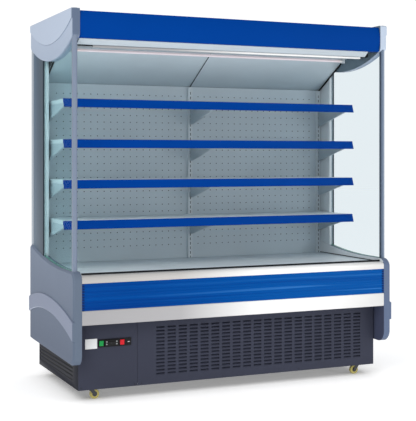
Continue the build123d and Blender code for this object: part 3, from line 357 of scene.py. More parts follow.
@dataclass(frozen=True, kw_only=True)
class EndMoulding(MouldedPlastic):
    """Vacuum-formed ABS end part, whose faces take the light of different walls of the room.

    The outer face carries painted light at the top and on its raised field, and painted shade at its foot.
    The front carries painted shading of its own at each end of the cabinet. The underside of the raised
    field's rim is painted lighter on the end panels and darker on the caps. The inner face is painted dark
    as shade, apart from the white lining above the deck.
    """

    foot_painted_shade: str  # outer face at its foot
    left_front: str
    right_front: str
    inner_low_painted_shade: str
    inner_high: str
    raised: str
    rim_underside_painted_shading: str  # underside of the raised field's rim
    low_z: float = 0.25
    high_z: float = 0.70
    split_z: float = 0.65
    split_blur: float = 0.002
    inner_x: float = 0.8915
    inner_blur: float = 0.001
    raised_x: float = 0.9364
    underside: Span = (-0.25, -0.6)  # Z of the normal from side-on to under
    frontal: Span = (-0.15, -0.95)  # Y of the normal from side-on to the front

    def paint(self, tree: Tree, place: Socket) -> Socket:
        """Layer painted light and shade onto the faces, by place and by the way that each faces.

        Args:
            tree: the material's node tree.
            place: the coordinates that the patterns follow.

        Returns:
            The colour.
        """
        split = add_node(tree, "ShaderNodeSeparateXYZ", {0: place})
        x, z = split.outputs["X"], split.outputs["Z"]
        across = add_node(tree, "ShaderNodeMath", {0: x}, operation="ABSOLUTE").outputs[0]
        normal = add_node(tree, "ShaderNodeTexCoord").outputs["Normal"]
        facing = add_node(tree, "ShaderNodeSeparateXYZ", {0: normal})
        face = super().paint(tree, place)
        # Painted shade towards the foot of the outer face.
        face = layered(tree, face, linear(self.foot_painted_shade), z, (self.high_z, self.low_z))
        proud = add_node(
            tree,
            "ShaderNodeMapRange",
            {"Value": across, "From Min": self.raised_x - EDGE_BLUR, "From Max": self.raised_x},
        ).outputs[0]
        # Painted light on the raised field.
        face = layered(tree, face, linear(self.raised), proud)
        # Painted light and shade under the raised field's rim: lighter on the end panels, darker on the caps.
        start, full = self.underside
        under = add_node(
            tree, "ShaderNodeMapRange", {"Value": facing.outputs["Z"], "From Min": start, "From Max": full}
        ).outputs[0]
        lip = add_node(tree, "ShaderNodeMath", {0: under, 1: proud}, operation="MULTIPLY").outputs[0]
        face = layered(tree, face, linear(self.rim_underside_painted_shading), lip)
        # Painted shading on the front faces, different at each end of the cabinet.
        front = layered(tree, linear(self.left_front), linear(self.right_front), x, ENDS_APART)
        body = layered(tree, face, front, facing.outputs["Y"], self.frontal)
        # Painted shade on the inner face, below the white lining of the end panels.
        low, high = linear(self.inner_low_painted_shade), linear(self.inner_high)
        inner = layered(tree, low, high, z, (self.split_z, self.split_z + self.split_blur))
        return layered(tree, body, inner, across, (self.inner_x, self.inner_x - self.inner_blur))


@dataclass(frozen=True)
class RolledMetal(Finish):
    """Rolled, drawn or brushed metal: the tooling leaves fine lines along X."""

    metallic: float = 1.0
    stretch: float = 60.0  # how much longer than wide a brush line is

    def pattern(self, tree: Tree, place: Socket) -> Socket:
        """Noise drawn out along X into brush lines.

        Args:
            tree: the material's node tree.
            place: the coordinates that the patterns follow.

        Returns:
            The relief, from 0 to 1.
        """
        drawn = add_node(tree, "ShaderNodeMapping", {"Vector": place, "Scale": (1 / self.stretch, 1.0, 1.0)})
        lines = {"Vector": drawn.outputs[0], "Scale": 1 / (self.grain_mm * MM), "Detail": 3.0}
        return add_node(tree, "ShaderNodeTexNoise", lines).outputs["Fac"]


@dataclass(frozen=True)
class AnodisedPost(RolledMetal):
    """Anodised corner post: the right one has a lit outer edge, the left one an even lavender grey."""

    shaded: str = "6b7a90"
    even: str = "7c889c"
    inner_x: float = 0.901
    outer_x: float = 0.925

    def paint(self, tree: Tree, place: Socket) -> Socket:
        """Painted shade in the inner corner and on the front, and a painted highlight on the outer edge, at
        the right; an even tone with a little painted shade at the inner corner, at the left.

        Args:
            tree: the material's node tree.
            place: the coordinates that the patterns follow.

        Returns:
            The colour.
        """
        x = add_node(tree, "ShaderNodeSeparateXYZ", {0: place}).outputs["X"]
        size = add_node(tree, "ShaderNodeMath", {0: x}, operation="ABSOLUTE").outputs[0]
        across = add_node(
            tree, "ShaderNodeMapRange", {"Value": size, "From Min": self.inner_x, "From Max": self.outer_x}
        ).outputs[0]
        dark, light, even = linear(self.shaded), linear(self.colour), linear(self.even)
        # Painted light and shade across the post: shade in the inner corner, and a highlight on the right
        # post's outer edge.
        right_stops = [
            (0.0, shade(dark, 0.5)), (0.12, dark), (0.58, shade(dark, 1.08)), (0.68, light), (1.0, light),
        ]
        left_stops = [(0.0, shade(even, 0.9)), (0.2, even), (1.0, shade(even, 1.05))]
        return layered(
            tree, graded(tree, across, left_stops), graded(tree, across, right_stops), x, ENDS_APART
        )


@dataclass(frozen=True)
class BrushedTrim(RolledMetal):
    """Brushed and anodised aluminium trim, with painted shade at the left end and a painted reflection that
    is brightest right of the middle.
    """

    painted_shade_end: str = "a9a8aa"
    half_length: float = 0.890

    def paint(self, tree: Tree, place: Socket) -> Socket:
        """Painted light and shade along the cabinet's width.

        Args:
            tree: the material's node tree.
            place: the coordinates that the patterns follow.

        Returns:
            The colour.
        """
        x = add_node(tree, "ShaderNodeSeparateXYZ", {0: place}).outputs["X"]
        along = add_node(
            tree,
            "ShaderNodeMapRange",
            {"Value": x, "From Min": -self.half_length, "From Max": self.half_length},
        ).outputs[0]
        painted_shade_end, bright = linear(self.painted_shade_end), linear(self.colour)
        # Painted shade at the left end, a painted reflection right of the middle, and shade again at the
        # right end.
        stops = [
            (0.0, painted_shade_end),
            (0.30, shade(painted_shade_end, 1.18)),
            (0.55, bright),
            (0.80, bright),
            (1.0, shade(bright, 0.78)),
        ]
        return graded(tree, along, stops)


@dataclass(frozen=True)
class RibbedBumper(Finish):
    """Extruded PVC bumper: a glossy blue with painted highlights as light lines along the extrusion, most at
    the right.

    The lines are about 20 mm high and 1.5 m long.
    """

    bright: str = "2e74c0"
    dark: str = "003c8b"
    right_base: str = "0056a8"
    right_dark: str = "004899"
    streak_scale: float = 3.0
    streak_draw: Point = (0.22, 1.0, 17.0)  # squeezes the streaks along X and packs them along Z
    right_part: Span = (-0.6, 0.35)  # X over which the right part's tones come in

    def paint(self, tree: Tree, place: Socket) -> Socket:
        """Blue with soft streaks of painted highlight and shade along X.

        Args:
            tree: the material's node tree.
            place: the coordinates that the patterns follow.

        Returns:
            The colour.
        """
        x = add_node(tree, "ShaderNodeSeparateXYZ", {0: place}).outputs["X"]
        drawn = add_node(tree, "ShaderNodeMapping", {"Vector": place, "Scale": self.streak_draw})
        lines = {"Vector": drawn.outputs[0], "Scale": self.streak_scale, "Detail": 1.0}
        streak = add_node(tree, "ShaderNodeTexNoise", lines).outputs["Fac"]
        # Painted highlights and shade as streaks along X, brighter over the right part.
        left = graded(tree, streak, [(0.30, linear(self.dark)), (0.65, linear(self.colour))])
        base, dark = linear(self.right_base), linear(self.right_dark)
        right_stops = [(0.30, dark), (0.50, base), (0.62, base), (0.72, linear(self.bright))]
        return layered(tree, left, graded(tree, streak, right_stops), x, self.right_part)


@dataclass(frozen=True)
class ShadedColumnPanel(Finish):
    """Coated steel column, with painted shade that darkens it towards its front gasket, a painted highlight
    on the rear strip behind its groove, and a white lining inside the glass.
    """

    rear: str = "acb5be"
    front_dark: str = "46535f"
    gasket: str = "25343f"
    lining: str = "e3eaee"
    near_groove: str = "586e84"
    groove_y: float = 0.390
    back_y: float = 0.435
    front_y: float = 0.176
    glass_x: float = 0.919
    blur: float = 0.001

    def paint(self, tree: Tree, place: Socket) -> Socket:
        """Gasket at the front edge, painted light that grows towards the groove, a painted highlight behind
        it, and white inside the bay.

        Args:
            tree: the material's node tree.
            place: the coordinates that the patterns follow.

        Returns:
            The colour.
        """
        split = add_node(tree, "ShaderNodeSeparateXYZ", {0: place})
        x, y = split.outputs["X"], split.outputs["Y"]
        along = add_node(
            tree, "ShaderNodeMapRange", {"Value": y, "From Min": self.front_y, "From Max": self.back_y}
        ).outputs[0]
        groove = (self.groove_y - self.front_y) / (self.back_y - self.front_y)
        # Painted shade near the front gasket that lightens towards the groove, and a painted highlight on the
        # strip behind it, at the column's back corner.
        stops = [
            (0.03, linear(self.gasket)),
            (0.045, linear(self.front_dark)),
            (groove * 0.6, linear(self.colour)),
            (groove - 0.01, linear(self.near_groove)),
            (groove + 0.01, linear(self.rear)),
        ]
        across = add_node(tree, "ShaderNodeMath", {0: x}, operation="ABSOLUTE").outputs[0]
        behind_glass = add_node(
            tree,
            "ShaderNodeMapRange",
            {"Value": across, "From Min": self.glass_x + self.blur, "From Max": self.glass_x},
        ).outputs[0]
        ahead_of_groove = add_node(
            tree,
            "ShaderNodeMapRange",
            {"Value": y, "From Min": self.groove_y, "From Max": self.groove_y - self.blur},
        ).outputs[0]
        lined = add_node(
            tree, "ShaderNodeMath", {0: ahead_of_groove, 1: behind_glass}, operation="MULTIPLY"
        ).outputs[0]
        return layered(tree, graded(tree, along, stops), linear(self.lining), lined)


@dataclass(frozen=True)
class PaneGlass(Finish):
    """Float glass: clear face on, with a green-blue cast from its iron where it is seen at a slant."""

    transmission: float = 1.0
    right_colour: str = "e0e9ed"

    def paint(self, tree: Tree, place: Socket) -> Socket:
        """Deeper cast on the left pane than on the right one, whose paler tint is a painted reflection."""
        x = add_node(tree, "ShaderNodeSeparateXYZ", {0: place}).outputs["X"]
        return layered(tree, linear(self.colour), linear(self.right_colour), x, ENDS_APART)

    def surface(self, tree: Tree, place: Socket) -> bpy.types.Node:
        """Thin tinted pane that light passes through, with no relief.

        Args:
            tree: the material's node tree.
            place: the coordinates that the patterns follow.

        Returns:
            The shader node.
        """
        return add_node(
            tree,
            "ShaderNodeBsdfPrincipled",
            {
                "Base Color": self.paint(tree, place),
                "Roughness": self.roughness,
                "IOR": self.ior,
                "Transmission Weight": self.transmission,
            },
        )


@dataclass(frozen=True)
class GlowingTube(Finish):
    """Fluorescent tube: phosphor-coated glass, brighter along the middle than at its heated ends."""

    strength: float = 0.22
    left_end: float = -0.866
    right_end: float = 0.766
    end_colour: str = "c8a89a"
    end_length: float = 0.08

    def extra(self, tree: Tree, shader: bpy.types.Node, place: Socket) -> None:
        """Light from the phosphor, fading to a pink-brown at both ends.

        Args:
            tree: the material's node tree.
            shader: the finish's shader node.
            place: the coordinates that the patterns follow.
        """
        x = add_node(tree, "ShaderNodeSeparateXYZ", {0: place}).outputs["X"]
        middle, warm = linear(self.colour), linear(self.end_colour)
        glow = layered(tree, middle, warm, x, (self.left_end + self.end_length, self.left_end))
        glow = layered(tree, glow, warm, x, (self.right_end - self.end_length, self.right_end))
        tree.links.new(glow, shader.inputs["Emission Color"])
        shader.inputs["Emission Strength"].default_value = self.strength


@dataclass(frozen=True)
class WovenCloth(Finish):
    """Coated curtain cloth in a plain weave, its 0.4 mm threads drawn at 2 mm so that they show."""

    thread_mm: float = 2.0

    def pattern(self, tree: Tree, place: Socket) -> Socket:
        """Two crossing sets of threads.

        Args:
            tree: the material's node tree.
            place: the coordinates that the patterns follow.

        Returns:
            The relief, from 0 to 1.
        """
        scale = math.pi / (20 * self.thread_mm * MM)  # a wave's length is 2 pi / 20 at a scale of 1
        across, down = (
            add_node(
                tree, "ShaderNodeTexWave", {"Vector": place, "Scale": scale}, bands_direction=direction
            ).outputs["Fac"]
            for direction in ("X", "Z")
        )
        return add_node(tree, "ShaderNodeMath", {0: across, 1: down}, operation="MULTIPLY").outputs[0]


@dataclass(frozen=True)
class StudioFloor(Finish):
    """Seamless paper sweep: near white far off, with soft grey where the cabinet keeps the light away."""

    glow: float = 0.52
    reach: float = 0.13

    def extra(self, tree: Tree, shader: bpy.types.Node, place: Socket) -> None:
        """Lift the paper to white wherever it is open to the room.

        Args:
            tree: the material's node tree.
            shader: the finish's shader node.
            place: the coordinates that the patterns follow.
        """
        near = add_node(tree, "ShaderNodeAmbientOcclusion", {"Distance": self.reach}, samples=8)
        lit = layered(tree, linear("000000"), linear(self.colour), near.outputs["AO"])
        tree.links.new(lit, shader.inputs["Emission Color"])
        shader.inputs["Emission Strength"].default_value = self.glow


class Palette:
    """Every finish of the cabinet, built once."""

    def __init__(self) -> None:
        """Build the materials, one group after another."""
        self.outer_coats()
        self.inner_coats()
        self.dark_coats()
        self.plastics()
        self.controls()
        self.metals()
        self.glass_and_light()

    def outer_coats(self) -> None:
        """Powder coats of the outside."""
        # Semi-matt powder coat on folded steel: an even deep blue with hardly a highlight.
        self.fascia = PowderCoat(
            "coat_fascia_blue", "003d91", roughness=0.5, mottle=0.02, specular=0.02
        ).build()
        # Powder coat over galvanised steel: a slate grey whose orange peel breaks the light up softly.
        self.plinth = PowderCoat(
            "coat_plinth_slate", "3b3e4d", roughness=0.5, mottle=0.05, specular=0.12
        ).build()
        # The same coat on the plinth's sides, which the floor's light hardly reaches: nearly black.
        self.plinth_side = PowderCoat(
            "coat_plinth_slate_shaded", "1f212c", roughness=0.55, mottle=0.05, specular=0.1
        ).build()
        # Coated steel skins of foamed panels, rolled flat: plain mid grey, parted by cover strips.
        self.foam = JointedSheet(
            "coat_outer_grey", "8f99a8", roughness=0.5, mottle=0.03, specular=0.2
        ).build()
        # Coated cover strip of the roof's joints: a shade paler than the sheets, so the joint reads.
        self.joint = PowderCoat(
            "coat_joint_strip_grey", "9aa4b3", roughness=0.45, mottle=0.02, specular=0.2
        ).build()
        # Coated steel column: a dark gasket at its front with painted shade beside it, and a painted
        # highlight on the strip behind its groove.
        self.column = ShadedColumnPanel(
            "coat_column_grey", "45596c", roughness=0.45, mottle=0.03, specular=0.2
        ).build()

    def inner_coats(self) -> None:
        """Food-safe pale coats of the bay and its lamp."""
        # Coated back sheets and duct: a cool white that takes up the shade of the bay.
        self.inner = PowderCoat(
            "coat_inner_white", "cbd8e0", roughness=0.38, mottle=0.03, specular=0.3
        ).build()
        # Coated trays and uprights: the same white, a little lighter where the lamp meets it.
        self.shelf = PowderCoat(
            "coat_shelf_white", "d6e0e6", roughness=0.4, mottle=0.03, specular=0.3
        ).build()
        # Coated stamped brackets: turned away from the lamp, so they look greyer than the trays.
        self.bracket = PowderCoat(
            "coat_bracket_white", "b9c6cf", roughness=0.45, mottle=0.03, specular=0.25
        ).build()
        # Coated lamp housing and curtain case: smooth pale grey with a soft line of light.
        self.housing = PowderCoat(
            "coat_lamp_housing", "c6d0d8", roughness=0.4, mottle=0.02, specular=0.25
        ).build()

    def dark_coats(self) -> None:
        """Blacks and shadows behind openings."""
        # Coated welded steel angle: dull black with the drift of a dipped coat.
        self.chassis = PowderCoat(
            "coat_chassis_black", "25272d", roughness=0.6, mottle=0.08, specular=0.15
        ).build()
        # Matt black: painted shade on the pads behind slots, the uprights' linings and the outlet's cell
        # mouths, and the black of the duct trim, the return grille and the condenser coil.
        self.dark = PowderCoat("coat_matt_black", "16181c", roughness=0.6, mottle=0.1, specular=0.2).build()
        # Mouth of a punched hole: rough and unlit, so that it reads as depth.
        self.hole = PowderCoat(
            "shadow_black_hole", "2c383f", roughness=0.9, mottle=0.02, specular=0.05
        ).build()
        # Moulded air-straightener: charcoal walls that show as a fine dark mesh.
        self.honeycomb = PowderCoat("moulded_honeycomb_black", "2b3338", roughness=0.6, specular=0.2).build()
        # Baked stoving enamel on the compressor's pressed shell: flat black.
        self.enamel = PowderCoat("enamel_compressor_black", "141518", roughness=0.7, specular=0.1).build()

    def plastics(self) -> None:
        """Moulded and extruded plastics."""
        # Vacuum-formed ABS caps: light blue-grey with a soft waxy shine. They carry painted light at the top
        # and on the raised field, a painted shadow line under the field's rim, painted shade on the left
        # front and on the inner face, and a painted highlight on the right front.
        self.cap = EndMoulding(
            "abs_cap_light_grey", "b3c0d4", roughness=0.45, mottle=0.03, specular=0.2,
            foot_painted_shade="a6b4c9", low_z=1.77, high_z=1.98, left_front="5f6d84", right_front="bccadd",
            inner_low_painted_shade="6f808c", inner_high="6f808c", raised="b9c6da", raised_x=0.9334, rim_underside_painted_shading="7f8da3",
        ).build()
        # Vacuum-formed ABS end panels: lavender grey, deeper than the caps. They carry painted light on the
        # raised field, a painted highlight under its rim, painted shade at the foot and on the fronts, and
        # painted shade on the inner face below the deck.
        self.end_panel = EndMoulding(
            "abs_end_panel_grey", "707d92", roughness=0.5, mottle=0.03, specular=0.2,
            foot_painted_shade="57647a", left_front="647183", right_front="62718e", inner_low_painted_shade="4a5068",
            inner_high="e4eaee", raised="858ea4", rim_underside_painted_shading="b9c1d2",
        ).build()
        # Extruded PVC bumper: strong blue, the glossiest blue of the front, with painted highlight streaks
        # that are brightest at the right.
        self.bumper = RibbedBumper(
            "pvc_bumper_blue", "004a9b", roughness=0.35, grain_mm=1.5, relief=0.04, specular=0.04
        ).build()
        # Painted shade and the end panels' painted reflection at the bumper's ends: the blue in deep shade.
        self.bumper_end = PowderCoat("pvc_bumper_end_dark", "06295f", roughness=0.5, specular=0.1).build()
        # Extruded PVC ticket strip: flat saturated blue, as even as printed film.
        self.strip = MouldedPlastic(
            "pvc_ticket_strip_blue", "003f97", roughness=0.45, mottle=0.02, specular=0.03
        ).build()
        # Extruded PVC seal: soft charcoal that only shows as a line.
        self.seal = MouldedPlastic("pvc_seal_charcoal", "1b1f25", roughness=0.6, specular=0.15).build()
        # Cast nylon wheel, aged to amber: slightly blotchy and waxy.
        self.wheel = MouldedPlastic(
            "nylon_wheel_amber", "c9bd72", roughness=0.4, mottle=0.08, mottle_mm=30.0, specular=0.3
        ).build()
        # Silver-coated polyester curtain: matt grey with a weave that catches the light.
        self.cloth = WovenCloth(
            "polyester_curtain_silver", "b8bdc2", roughness=0.7, relief=0.35, specular=0.2
        ).build()

    def controls(self) -> None:
        """Small mouldings of the control strip."""
        # Moulded ABS bezel: fine-textured black.
        self.bezel = MouldedPlastic(
            "abs_bezel_black", "0d0e11", roughness=0.45, mottle=0.05, specular=0.25
        ).build()
        # Cast acrylic window, smoked: the one glossy black of the strip.
        self.display = MouldedPlastic(
            "acrylic_display_smoked", "060709", roughness=0.15, mottle=0.0, specular=0.3
        ).build()
        # Moulded rubber keys: dull mid grey.
        self.button = MouldedPlastic("rubber_key_grey", "8f9293", roughness=0.6, specular=0.2).build()
        # Moulded polycarbonate rockers: clear strong colours with a crisp highlight.
        self.green = MouldedPlastic("pc_rocker_green", "0a9a48", roughness=0.3, specular=0.25).build()
        self.red = MouldedPlastic("pc_rocker_red", "d81426", roughness=0.3, specular=0.25).build()
        # Blank polyester film on its plate: clean satin white.
        self.plate = MouldedPlastic(
            "film_label_blank_white", "eceeee", roughness=0.4, mottle=0.02, specular=0.2
        ).build()

    def metals(self) -> None:
        """Anodised, plated and bare metals."""
        # Extruded aluminium post, lavender anodised: satin, with a painted highlight on the outer edge at the
        # right and painted shade in the inner corner and on the right post's front.
        self.post = AnodisedPost(
            "anodised_post_lavender", "b9c1cb", roughness=0.4, metallic=0.1, grain_mm=1.2, specular=0.2
        ).build()
        # Brushed and anodised aluminium, its 0.1 mm lines drawn at 0.8 mm so that they show: silver
        # with painted shade and reflection that run from grey to white.
        self.silver = BrushedTrim(
            "anodised_trim_silver", "fbfbfa", roughness=0.35, metallic=0.15, grain_mm=0.8, mottle=0.03,
            specular=0.3,
        ).build()
        # The same on the top rail, which looks up at the lamp and so has paler painted shade at its left end.
        self.rail = BrushedTrim(
            "anodised_rail_silver", "fbfbfa", roughness=0.35, metallic=0.15, grain_mm=0.8, mottle=0.03,
            specular=0.3, painted_shade_end="bab8b5",
        ).build()
        # Hot-dip galvanised sheet: grey with 18 mm spangle.
        self.shroud = RolledMetal(
            "galvanised_shroud_sheet", "6f7376", roughness=0.6, mottle=0.12, mottle_mm=18.0, metallic=0.5
        ).build()
        # Zinc-plated pressed steel: dark satin grey in the plinth's shadow.
        self.zinc = RolledMetal(
            "zinc_castor_plated", "4a4c50", roughness=0.45, metallic=0.6, grain_mm=0.8
        ).build()
        # Blacked steel screw: hardly lighter than the sheet, seen by its rim.
        self.screw = RolledMetal(
            "steel_screw_blacked", "34373f", roughness=0.5, metallic=0.3, grain_mm=0.6, specular=0.2
        ).build()
        # Bare aluminium rivet: a small bright dot.
        self.rivet = RolledMetal(
            "aluminium_rivet_bare", "d0d2d4", roughness=0.4, metallic=0.4, grain_mm=0.6
        ).build()
        # Drawn copper tube, oxidised in use: brown without the pink of new copper.
        self.copper = RolledMetal("copper_tube_oxidised", "6a4433", roughness=0.4, mottle=0.1).build()
        # Rolled aluminium fin stock: soft grey, dulled by its hydrophilic coat.
        self.fins = RolledMetal(
            "aluminium_fin_stock", "8f9497", roughness=0.5, grain_mm=1.0, metallic=0.6
        ).build()

    def glass_and_light(self) -> None:
        """Panes, their edge, the lamp and the studio's floor."""
        # Float glass pane, faintly green-blue. Its IOR is far under glass's 1.5, so that the thick
        # solid pane neither shifts what stands behind it nor greys it with the room.
        self.glass = PaneGlass("float_glass_pane", "e1f2f4", roughness=0.01, ior=1.02).build()
        # Ground edge of float glass: light gathers in it, so it glows green.
        self.glass_edge = PaneGlass(
            "float_glass_edge_green", "6fb0a0", roughness=0.12, transmission=0.2, right_colour="8fc4b6"
        ).build()
        # Phosphor-coated glass tube: a warm white glow.
        self.tube = GlowingTube("phosphor_tube_warm_white", "dcd2d8", roughness=0.3, mottle=0.0).build()
        # Matt seamless paper: white, without a highlight.
        self.floor = StudioFloor(
            "studio_floor_white", "f6f6f6", roughness=0.9, mottle=0.005, relief=0.0, specular=0.0
        ).build()


# ---------------------------------------------------------------- meshes
def smooth_by_angle(mesh: Mesh, degrees: float) -> None:
    """Shade a mesh smooth except across edges sharper than an angle."""
    mesh.shade_smooth()
    mesh.set_sharp_from_angle(angle=math.radians(degrees))


def mesh_from(name: str, shape: bmesh.types.BMesh, outward: bool = True) -> Mesh:
    """Turn a finished shape into a mesh and free it.

    Args:
        name: the mesh's name.
        shape: the shape, which can't be used afterwards.
        outward: turn all faces outwards first.

    Returns:
        The mesh.
    """
    if outward:
        bmesh.ops.recalc_face_normals(shape, faces=shape.faces)
    mesh = bpy.data.meshes.new(name)
    shape.to_mesh(mesh)
    shape.free()
    return mesh


def box_mesh(name: str, low: Point, high: Point, edge: float = 0.0, segments: int = 2) -> Mesh:
    """Box between two corners, with rounded edges.

    Args:
        name: the mesh's name.
        low: its lowest corner.
        high: its highest corner.
        edge: radius of the rounding, in metres.
        segments: faces across the rounding.

    Returns:
        The mesh.
    """
    shape = bmesh.new()
    bmesh.ops.create_cube(shape, size=1.0)
    size = Vector(high) - Vector(low)
    middle = (Vector(high) + Vector(low)) / 2
    for vert in shape.verts:
        vert.co = Vector((vert.co.x * size.x, vert.co.y * size.y, vert.co.z * size.z)) + middle
    if edge > 0:
        bmesh.ops.bevel(
            shape,
            geom=shape.edges[:],
            offset=edge,
            segments=segments,
            profile=0.5,
            affect="EDGES",
            clamp_overlap=True,
        )
    mesh = mesh_from(name, shape, outward=False)
    smooth_by_angle(mesh, BOX_DEGREES)
    return mesh


def lofted_mesh(name: str, sections: Sequence[Sequence[Point]]) -> Mesh:
    """Skin a run of like sections and close its two ends.

    Args:
        name: the mesh's name.
        sections: the corners of each section, in the same order all along.

    Returns:
        The closed mesh.
    """
    shape = bmesh.new()
    rings = [[shape.verts.new(corner) for corner in section] for section in sections]
    count = len(rings[0])
    for low, high in zip(rings, rings[1:]):
        for n in range(count):
            m = (n + 1) % count
            shape.faces.new((low[n], low[m], high[m], high[n]))
    shape.faces.new(rings[0])
    shape.faces.new(rings[-1])
    return mesh_from(name, shape)


def lathe_mesh(name: str, outline: Sequence[Span], centre: Point, axis: Axis, steps: int) -> Mesh:
    """Turn an outline about an axis through a centre.

    Args:
        name: the mesh's name.
        outline: radius and place along the axis, closed at both ends by a radius of 0 or left as a ring.
        centre: a point on the axis.
        axis: the axis to turn about.
        steps: faces round the axis.

    Returns:
        The turned mesh.
    """
    shape = bmesh.new()
    rings = []
    for radius, along in outline:
        ring = []
        for n in range(steps):
            turn = 2 * math.pi * n / steps
            a, b = radius * math.cos(turn), radius * math.sin(turn)
            local = (along, a, b) if axis is Axis.X else (a, along, b)
            ring.append(shape.verts.new(Vector(local) + Vector(centre)))
        rings.append(ring)
    is_ring = outline[0][0] > 0 and outline[-1][0] > 0
    pairs = list(zip(rings, rings[1:])) + ([(rings[-1], rings[0])] if is_ring else [])
    for low, high in pairs:
        for n in range(steps):
            m = (n + 1) % steps
            shape.faces.new((low[n], low[m], high[m], high[n]))
    bmesh.ops.remove_doubles(shape, verts=shape.verts, dist=1e-6)
    mesh = mesh_from(name, shape)
    smooth_by_angle(mesh, TURNED_DEGREES)
    return mesh


def joined(name: str, meshes: Iterable[Mesh]) -> Mesh:
    """Join several meshes into one.

    Args:
        name: the new mesh's name.
        meshes: the meshes to join.

    Returns:
        One mesh with all their faces.
    """
    shape = bmesh.new()
    for mesh in meshes:
        shape.from_mesh(mesh)
    result = mesh_from(name, shape, outward=False)
    smooth_by_angle(result, JOINED_DEGREES)
    return result


def node_copy(node: str, merge: float = 0.00002, flat_angle: float = 0.001) -> Mesh:
    """Copy a CAD node's mesh and merge its loose triangles into one skin.

    Args:
        node: the CAD node's name.
        merge: distance within which corners are joined.
        flat_angle: faces that meet at less than this, in radians, become one.

    Returns:
        The merged copy.
    """
    source = bmesh.new()
    source.from_mesh(frame["nodes"][node].data)
    bmesh.ops.remove_doubles(source, verts=source.verts, dist=merge)
    flat = [e for e in source.edges if len(e.link_faces) == 2 and e.calc_face_angle(0.0) < flat_angle]
    bmesh.ops.dissolve_edges(source, edges=flat, use_verts=False)
    return mesh_from(node + "_skin", source, outward=False)


# ---------------------------------------------------------------- pieces
def link_object(name: str, data: Any) -> Piece:
    """Add an object at the frame's origin to the scene.

    Args:
        name: its name.
        data: its mesh, light or camera.

    Returns:
        The new object.
    """
    added = bpy.data.objects.new(name, data)
    bpy.context.scene.collection.objects.link(added)
    return added


def new_piece(name: str, parts: Sequence[Mesh], material: Material) -> Piece:
    """Add a finished piece that rides on the cabinet.

    Args:
        name: the piece's name.
        parts: its meshes, in the frame's place, which are joined where there are several.
        material: its finish.

    Returns:
        The new object.
    """
    mesh = parts[0] if len(parts) == 1 else joined(name, parts)
    piece = link_object(name, mesh)
    if not mesh.materials:
        mesh.materials.append(material)
    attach(piece, Body.CABINET.value)
    log.info("piece %s: %d faces", name, len(mesh.polygons))
    return piece


def finished(piece: Piece) -> Piece:
    """Apply a piece's modifiers through its evaluated mesh.

    Args:
        piece: the object with its modifiers.

    Returns:
        The same object, with a plain mesh and no modifiers.
    """
    depsgraph = bpy.context.evaluated_depsgraph_get()
    mesh = bpy.data.meshes.new_from_object(piece.evaluated_get(depsgraph))
    piece.modifiers.clear()
    piece.data = mesh
    return piece


def dress(node: str, material: Material) -> None:
    """Give a CAD node that stays in view its finish.

    Args:
        node: the CAD node.
        material: its finish.
    """
    mesh = frame["nodes"][node].data
    mesh.materials.clear()
    mesh.materials.append(material)


def stand_in(piece: Piece, node: str) -> Piece:
    """Put a finished piece in a CAD node's place, on its body, and hide the node.

    Args:
        piece: the finished piece.
        node: the CAD node that it replaces.

    Returns:
        The same piece.
    """
    bodies = frame["record"]["behaviour"]["bodies"]
    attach(piece, next(body for body, members in bodies.items() if node in members))
    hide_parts(node)
    log.info("dressed %s: %d faces", node, len(piece.data.polygons))
    return piece


def softened(
    node: str,
    material: Material,
    edge_mm: float,
    segments: int = 2,
    degrees: float = 35.0,
    rounded: bool = False,
) -> Piece:
    """Stand a copy with rounded edges in for a CAD node.

    The rounding stays inside the node's own box, because a bevel only cuts corners.

    Args:
        node: the CAD node.
        material: its finish.
        edge_mm: width of the rounding.
        segments: faces across each rounding.
        degrees: edges sharper than this are rounded.
        rounded: shade the bevelled corners of a moulding as one round, with its flats kept flat.

    Returns:
        The new piece.
    """
    mesh = node_copy(node)
    mesh.materials.clear()
    mesh.materials.append(material)
    piece = link_object(node + "_dressed", mesh)
    bevel = piece.modifiers.new("edges", "BEVEL")
    bevel.width = edge_mm * MM
    bevel.segments = segments
    bevel.limit_method = "ANGLE"
    bevel.angle_limit = math.radians(degrees)
    bevel.use_clamp_overlap = True
    finished(piece)
    smooth_by_angle(piece.data, MOULDED_DEGREES if rounded else SHEET_DEGREES)
    if rounded:
        weights = piece.modifiers.new("flats", "WEIGHTED_NORMAL")
        weights.keep_sharp = True
        finished(piece)
    return stand_in(piece, node)


